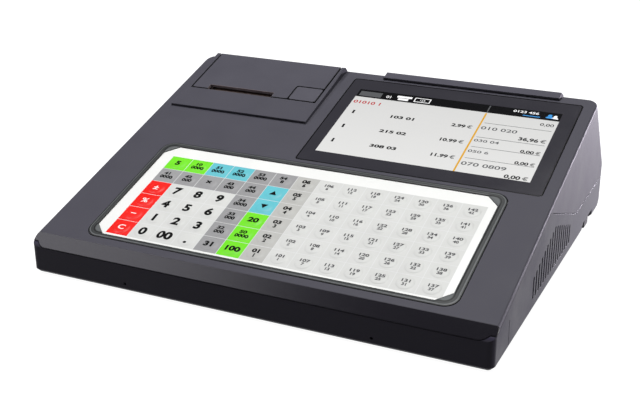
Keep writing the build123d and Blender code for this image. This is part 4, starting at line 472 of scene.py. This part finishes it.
def key_centre(column, row):
    """The middle of a key; columns count from the left, and rows from the front."""
    return (KEYS_MIDDLE[0] + (column - (KEY_COLUMNS - 1) / 2) * KEY_PITCH[0],
            KEYS_MIDDLE[1] + (row - (KEY_ROWS - 1) / 2) * KEY_PITCH[1])


def dome(distance):
    """Height of an embossed dome above the film, at a distance from its middle."""
    if distance >= DOME_RADIUS:
        return 0.0
    share = distance / DOME_RADIUS
    return DOME_HEIGHT * (1 - share ** DOME_POWER) ** DOME_SHOULDER


def film_height(x, s):
    """Height of the print on the key film, above the deck."""
    column = round((x - KEYS_MIDDLE[0]) / KEY_PITCH[0] + (KEY_COLUMNS - 1) / 2)
    row = round((s - KEYS_MIDDLE[1]) / KEY_PITCH[1] + (KEY_ROWS - 1) / 2)
    centre = key_centre(column, row)
    return FILM_TOP + PRINT_LIFT + dome(hypot(x - centre[0], s - centre[1]))


def print_ink(name, colour, rough=0.36, specular=0.25):
    """Ink on the key film: nearly smooth, and of an even colour."""
    return surface(name, colour, rough, grain=700, depth=0.006, swing=0.02, Specular_IOR_Level=specular)


KEY_INKS = [
    print_ink("ink_white", srgb(202, 203, 199)),
    print_ink("ink_red", srgb(228, 26, 18)),
    print_ink("ink_green", srgb(110, 214, 34)),
    print_ink("ink_cyan", srgb(96, 184, 194)),
    print_ink("ink_grey", srgb(146, 146, 146)),
    print_ink("ink_pale", srgb(178, 178, 173)),
    print_ink("ink_line", srgb(212, 213, 212)),
]
WHITE, RED, GREEN, CYAN, GREY, PALE, LINES = range(7)
# the inks of the first seven columns, row by row from the front; all other keys are white
KEY_FIELDS = [
    [RED, WHITE, WHITE, WHITE, GREY, GREEN, PALE],
    [RED, WHITE, WHITE, WHITE, GREY, GREEN, PALE],
    [RED, WHITE, WHITE, WHITE, GREY, GREEN, PALE],
    [RED, WHITE, WHITE, WHITE, GREY, CYAN, PALE],
    [GREY, GREY, GREY, GREY, GREY, CYAN, PALE],
    [GREEN, GREEN, CYAN, CYAN, GREY, GREY, PALE],
]
COLOURED_COLUMNS = len(KEY_FIELDS[0])
FIELD_REACH = [(pitch - LINE) / 2 for pitch in KEY_PITCH]
# radii of the rings of vertices on a dome, and a last ring along the edge of the key's field
FIELD_EDGE = None
RINGS = (2.5, 4.4, 5.3, 5.9, 6.3, 6.7, DOME_RADIUS, FIELD_EDGE)
SPOKES = 32


def spoke_point(centre, ring, spoke):
    """Where a spoke crosses a ring of the key round this centre."""
    turn = 2 * pi * spoke / SPOKES
    aim = (cos(turn), sin(turn))
    if ring is not FIELD_EDGE:
        return centre[0] + ring * aim[0], centre[1] + ring * aim[1]
    far = max(abs(aim[0]) / FIELD_REACH[0], abs(aim[1]) / FIELD_REACH[1])
    away = (aim[0] / far, aim[1] / far)
    # one spoke of each quarter runs into the field's corner
    if spoke % (SPOKES // 4) == SPOKES // 8:
        away = [reach if part > 0 else -reach for reach, part in zip(FIELD_REACH, aim)]
    return centre[0] + away[0], centre[1] + away[1]


def key_faces(middle):
    """The faces of a key whose middle vertex is given: a fan, and strips between the rings."""
    for spoke in range(SPOKES):
        after = (spoke + 1) % SPOKES
        yield middle, middle + 1 + spoke, middle + 1 + after
        for ring in range(len(RINGS) - 1):
            inner = middle + 1 + ring * SPOKES
            outer = inner + SPOKES
            yield inner + spoke, outer + spoke, outer + after, inner + after


def print_keys():
    """One plain field for the lines between the keys, and over it a field for each key."""
    half = [KEY_PITCH[0] * KEY_COLUMNS / 2, KEY_PITCH[1] * KEY_ROWS / 2]
    corners = [(KEYS_MIDDLE[0] + i * half[0], KEYS_MIDDLE[1] + j * half[1])
               for i, j in ((-1, -1), (1, -1), (1, 1), (-1, 1))]
    vertices = [on_deck(x, s, FILM_TOP + PRINT_LIFT / 2) for x, s in corners]
    faces = [(0, 1, 2, 3)]
    kinds = [LINES]
    for row in range(KEY_ROWS):
        for column in range(KEY_COLUMNS):
            centre = key_centre(column, row)
            faces.extend(key_faces(len(vertices)))
            points = [spoke_point(centre, ring, spoke) for ring in RINGS for spoke in range(SPOKES)]
            vertices.extend(on_deck(x, s, film_height(x, s)) for x, s in (centre, *points))
            ink = KEY_FIELDS[row][column] if column < COLOURED_COLUMNS else WHITE
            kinds.extend([ink] * (len(faces) - len(kinds)))
    piece("key_print", vertices, faces, kinds, KEY_INKS, smooth=True)


print_keys()

MARK_INKS = [print_ink("mark_black", (0.004, 0.004, 0.004), 0.5, 0.06),
             print_ink("mark_white", srgb(255, 225, 220)), print_ink("mark_dark_grey", srgb(62, 62, 64))]
MARK_BLACK, MARK_WHITE, MARK_GREY = range(3)
# edges of the marks that are longer than this are halved, so that the marks follow the domes
FINEST = 0.9
# every style of mark: height in mm, ink, boldness, and how far it is widened
DIGIT = (7.6, MARK_BLACK, 0.065, 1.12)
SIGN = (5.0, MARK_WHITE, 0.03, 1.2)
FUNCTION = (4.8, MARK_BLACK, 0.07, 1.25)
UPPER_LINE = (3.2, MARK_BLACK, 0.07, 1.3)
LOWER_LINE = (3.2, MARK_BLACK, 0.07, 1.2)
GROUP = (3.8, MARK_BLACK, 0.07, 1.25)
GROUP_BELOW = (3.4, MARK_BLACK, 0.07, 1.0)
ARTICLE = (2.8, MARK_GREY, 0.05, 1.35)
ARTICLE_BELOW = (2.6, MARK_GREY, 0.05, 1.1)
# the digits and the signs on red, row by row from the front; then by key, as column and row, the functions,
# which are numbered on one line, or on two set like the words of a keyboard
DIGITS = [["0", "00", "."], ["1", "2", "3"], ["4", "5", "6"], ["7", "8", "9"]]
SIGNS = ["C", "−", "%", "±"]
ONE_LINE = {(5, 0): "100", (0, 5): "5", (2, 4): "×", (4, 0): "31", (5, 2): "20"}
TWO_LINES = {(5, 1): ("50", "0000"), (4, 1): ("32", "000"), (4, 2): ("33", "000"), (4, 3): ("34", "0000"),
             (1, 5): ("10", "0000"), (5, 5): ("54", "8"), (2, 5): ("51", "0000"), (3, 5): ("52", "0000"),
             (4, 5): ("53", "0000"), (0, 4): ("41", "0000"), (1, 4): ("42", "000"), (3, 4): ("43", "000"),
             (4, 4): ("44", "000")}
# an arrow is a triangle: its half width, and its half height, which is negative where it points down
ARROW_HALF_WIDTH = 3.0
ARROWS = {(5, 3): -2.4, (5, 4): 2.4}


def mark(shapes, string, key, style, across=0.0, up=0.0):
    """A mark on a key, moved across and up from the key's middle."""
    x, s = key_centre(*key)
    height, kind, bold, width = style
    shapes.text(string, x + across, s + up, height, kind, bold=bold, width=width, finest=FINEST)


marks = Shapes()
for row, names in enumerate(DIGITS):
    for column, name in enumerate(names, start=1):
        mark(marks, name, (column, row), DIGIT)
for row, name in enumerate(SIGNS):
    mark(marks, name, (0, row), SIGN)
for key, name in ONE_LINE.items():
    mark(marks, name, key, FUNCTION)
for key, (upper, lower) in TWO_LINES.items():
    mark(marks, upper, key, UPPER_LINE, across=-0.6, up=2.2)
    mark(marks, lower, key, LOWER_LINE, up=-2.2)
for key, half_height in ARROWS.items():
    marks.triangle(*key_centre(*key), ARROW_HALF_WIDTH, half_height, MARK_BLACK)
for row in range(KEY_ROWS):
    group = (COLOURED_COLUMNS - 1, row)
    mark(marks, "0%d" % (row + 1), group, GROUP, up=2.3)
    mark(marks, str(row + 1), group, GROUP_BELOW, up=-2.5)
    for column in range(COLOURED_COLUMNS, KEY_COLUMNS):
        number = (column - COLOURED_COLUMNS) * KEY_ROWS + row + 1
        mark(marks, str(100 + number), (column, row), ARTICLE, up=1.9)
        mark(marks, str(number), (column, row), ARTICLE_BELOW, up=-1.9)
marks.build("key_marks", lambda x, s: film_height(x, s) + MARK_LIFT, MARK_INKS)


# ---- the picture on the display ----------------------------------------------------------
# the picture gives out light of its colour, and reflects this share of the same colour
REFLECTED = 0.45


def lit(name, colour, strength, gloss=1.0):
    """Part of the picture: it glows a little and keeps the glass's reflection."""
    shaded = [REFLECTED * channel for channel in colour]
    material = surface(name, shaded, rough=0.22, grain=400, depth=0.001, swing=0.01, rough_swing=0.005,
                       edge=0.05, Coat_Weight=0.3 * gloss, Coat_Roughness=0.08,
                       Specular_IOR_Level=0.5 * gloss)
    shader = material.node_tree.nodes["Principled BSDF"]
    shader.inputs["Emission Color"].default_value = (*colour, 1)
    shader.inputs["Emission Strength"].default_value = strength
    return material


PICTURE = [
    lit("picture_paper", srgb(210, 210, 208), 0.62),
    lit("picture_bar", srgb(8, 8, 12), 0.1, 0.3),
    lit("picture_black", srgb(22, 22, 24), 0.1),
    lit("picture_grey", srgb(96, 98, 100), 0.3),
    lit("picture_white", srgb(240, 240, 240), 0.7),
    lit("picture_orange", srgb(222, 166, 34), 0.5),
    lit("picture_red", srgb(196, 32, 34), 0.4),
    lit("picture_blue", srgb(60, 150, 220), 0.6),
]
PAPERLIKE, BAR, INK, SOFT, BRIGHT, ORANGE, CRIMSON, BLUE = range(8)
# the lit field on the deck, the lower edge of its bar, the line between its two parts, and the right edge
# of the amounts
SCREEN_LEFT, SCREEN_FOOT, SCREEN_RIGHT, SCREEN_HEAD = -17.1, 151.4, 156.8, 246.2
BAR_FOOT = 234.8
DIVIDER = 98.0
COLUMN_RIGHT = 154.6
# how far the picture and its drawing lie above the deck
PICTURE_LIFT, DRAWING_LIFT = 0.02, 0.045


def fade(material, foot, head):
    """The glow falls from foot at the picture's lower edge to head at its upper edge."""
    tree = material.node_tree
    lower, upper = on_deck(0, SCREEN_FOOT, 0).y, on_deck(0, SCREEN_HEAD, 0).y
    glow = remap(tree, axes(tree)["Y"], lower, upper, foot, head)
    put(tree, tree.nodes["Principled BSDF"].inputs["Emission Strength"], glow)


def draw_bar(shapes):
    """A button, a number, a printer, a framed number, dividing lines, a number over a line, two persons."""
    shapes.rectangle(-15.0, 236.6, 4.6, 243.6, SOFT)
    shapes.text("01", 11.6, 239.6, 3.6, BRIGHT, bold=0.02)
    shapes.rectangle(20.0, 236.8, 29.0, 239.8, BRIGHT)
    shapes.rectangle(18.2, 240.4, 31.4, 243.2, BRIGHT)
    shapes.frame(34.0, 237.0, 48.0, 243.4, 0.8, BRIGHT)
    shapes.text("123", 41.0, 240.2, 2.4, BRIGHT, bold=0.01)
    shapes.rectangle(DIVIDER - 0.5, 235.4, DIVIDER + 0.5, 245.2, SOFT)
    shapes.rectangle(DIVIDER - 0.75, SCREEN_FOOT, DIVIDER + 0.75, BAR_FOOT - 1.0, ORANGE)
    shapes.text("0123 456", 128.4, 242.4, 3.0, BRIGHT, bold=0.03, width=1.3)
    shapes.rectangle(126.8, 237.2, 140.6, 238.2, BLUE)
    for x, head, head_radius, body_radius, kind in ((148.0, 241.6, 1.7, 3.2, BLUE),
                                                    (152.4, 241.0, 1.5, 2.8, BRIGHT)):
        shapes.disc(x, head, head_radius, kind)
        shapes.disc(x, 237.4, body_radius, kind, end=pi)


def draw_list(shapes):
    """A head, and three rows of a count, a name, an amount and its sign."""
    shapes.text("01010 1", -15.6, 227.0, 4.2, CRIMSON, align="LEFT", bold=0.03, width=1.3)
    for s, name, amount in ((211.6, "103 01", "2,99"), (190.0, "215 02", "10,99"),
                            (168.6, "308 03", "11,99")):
        shapes.text("1", -9.3, s, 4.4, INK, bold=0.08, width=1.4)
        shapes.text(name, 34.0, s, 3.6, INK, bold=0.06, width=1.6)
        shapes.text(amount, 87.6, s, 3.9, INK, align="RIGHT", bold=0.055, width=1.2)
        shapes.text("€", 93.4, s, 4.0, INK, align="RIGHT", bold=0.015, width=1.2)


def draw_sums(shapes):
    """Lines, names and amounts; every amount but the first has its sign."""
    for s in (220.0, 199.6, 186.0, 170.4):
        shapes.rectangle(DIVIDER + 2.6, s - 0.25, COLUMN_RIGHT, s + 0.25, SOFT)
    for s, name, size in ((213.0, "010 020", 4.2), (195.0, "030 04", 3.4), (180.0, "050 6", 3.4),
                          (163.2, "070 0809", 4.4)):
        shapes.text(name, DIVIDER + 2.0, s, size, SOFT, align="LEFT", bold=0.02, width=1.5)
    shapes.text("0,00", COLUMN_RIGHT, 228.0, 3.8, INK, align="RIGHT", bold=0.015, width=1.2)
    for s, amount, size in ((204.8, "36,96", 4.2), (188.6, "0,00", 3.6), (173.2, "0,00", 3.6),
                            (154.6, "0,00", 4.2)):
        shapes.text("€", COLUMN_RIGHT, s, size, INK, align="RIGHT", bold=0.015, width=1.2)
        shapes.text(amount, COLUMN_RIGHT - 1.45 * size, s, size, INK, align="RIGHT", bold=0.05, width=1.2)


fade(PICTURE[PAPERLIKE], foot=0.69, head=0.54)

picture = Shapes()
picture.rectangle(SCREEN_LEFT, SCREEN_FOOT, SCREEN_RIGHT, BAR_FOOT, PAPERLIKE)
picture.rectangle(SCREEN_LEFT, BAR_FOOT, SCREEN_RIGHT, SCREEN_HEAD, BAR)
picture.build("display_picture", PICTURE_LIFT, PICTURE)

drawing = Shapes()
draw_bar(drawing)
draw_list(drawing)
draw_sums(drawing)
drawing.build("display_drawing", DRAWING_LIFT, PICTURE)


# ---- floor, light, camera ----------------------------------------------------------------
def shown_white(tree, lit_shader, extra):
    """Adds plain light to a shader for what the camera sees directly, mirrored or through glass."""
    rays = add(tree, "LightPath").outputs
    seen = combine(tree, "MAXIMUM", rays["Is Camera Ray"], rays["Is Glossy Ray"])
    seen = combine(tree, "MAXIMUM", seen, rays["Is Transmission Ray"])
    glow = add(tree, "Emission")
    put(tree, glow.inputs["Strength"], combine(tree, "MULTIPLY", seen, extra))
    both = add(tree, "AddShader")
    put(tree, both.inputs[0], lit_shader.outputs[0])
    put(tree, both.inputs[1], glow.outputs[0])
    return both


# how far the floor reaches from the middle, in metres
FLOOR_REACH = 6
# the floor's own light, which is only seen directly, mirrored or through glass, and the world's as a lamp
FLOOR_GLOW = 0.97
WORLD_GLOW = 0.12
floor_mesh = bpy.data.meshes.new("floor")
floor_corners = [(i * FLOOR_REACH, j * FLOOR_REACH, 0) for i, j in ((-1, -1), (1, -1), (1, 1), (-1, 1))]
floor_mesh.from_pydata(floor_corners, [], [(0, 1, 2, 3)])
floor = bpy.data.objects.new("floor", floor_mesh)
bpy.context.scene.collection.objects.link(floor)
floor_paint = bpy.data.materials.new("floor_paint")
floor_paint.use_nodes = True
floor_tree = floor_paint.node_tree
floor_tree.nodes.remove(floor_tree.nodes["Principled BSDF"])
chalk = add(floor_tree, "BsdfDiffuse")
chalk.inputs["Color"].default_value = (0.20, 0.20, 0.20, 1)
put(floor_tree, floor_tree.nodes["Material Output"].inputs["Surface"],
    shown_white(floor_tree, chalk, FLOOR_GLOW).outputs[0])
floor_mesh.materials.append(floor_paint)

world = bpy.data.worlds.new("studio")
bpy.context.scene.world = world
world.use_nodes = True
world_tree = world.node_tree
backdrop = world_tree.nodes["Background"]
backdrop.inputs["Color"].default_value = (0.97, 0.97, 1.0, 1)
# the camera sees the world as white as the floor; as a lamp it stays dim
by_camera = add(world_tree, "LightPath").outputs["Is Camera Ray"]
put(world_tree, backdrop.inputs["Strength"], remap(world_tree, by_camera, 0.0, 1.0, new_low=WORLD_GLOW))


def softbox(name, stand, target, size, watts, colour=(1, 1, 1)):
    """A lamp of the given size that stands in one place and shines at another."""
    lamp = bpy.data.lights.new(name, "AREA")
    lamp.shape = "RECTANGLE"
    lamp.size, lamp.size_y = size
    lamp.energy = watts
    lamp.color = colour
    holder = bpy.data.objects.new(name, lamp)
    bpy.context.scene.collection.objects.link(holder)
    aim = Vector(target) - Vector(stand)
    holder.matrix_world = Matrix.Translation(stand) @ aim.to_track_quat("-Z", "Y").to_matrix().to_4x4()


softbox("overhead", stand=(0.15, 0.22, 1.9), target=(0.0, 0, 0.05), size=(1.5, 1.2), watts=40)
softbox("right_rear", stand=(0.72, 1.2, 0.065), target=(0.14, 0.08, 0.05), size=(0.7, 0.1), watts=28,
        colour=(0.93, 0.86, 1.0))
softbox("left", stand=(-1.0, -0.4, 1.15), target=(-0.15, -0.15, 0.03), size=(0.7, 0.7), watts=10,
        colour=(0.95, 0.93, 1.0))

# the camera was fitted to the photograph
camera_data = bpy.data.cameras.new("camera")
camera_data.lens = 62.16
camera_data.sensor_width = 36.0
camera_data.clip_start = 0.05
camera = bpy.data.objects.new("camera", camera_data)
bpy.context.scene.collection.objects.link(camera)
camera.location = (0.3402473, -0.7508941, 0.3620352)
camera.rotation_euler = (1.1843514, 0.0047005, 0.4393908)
bpy.context.scene.camera = camera

bpy.context.scene.view_settings.view_transform = "Standard"
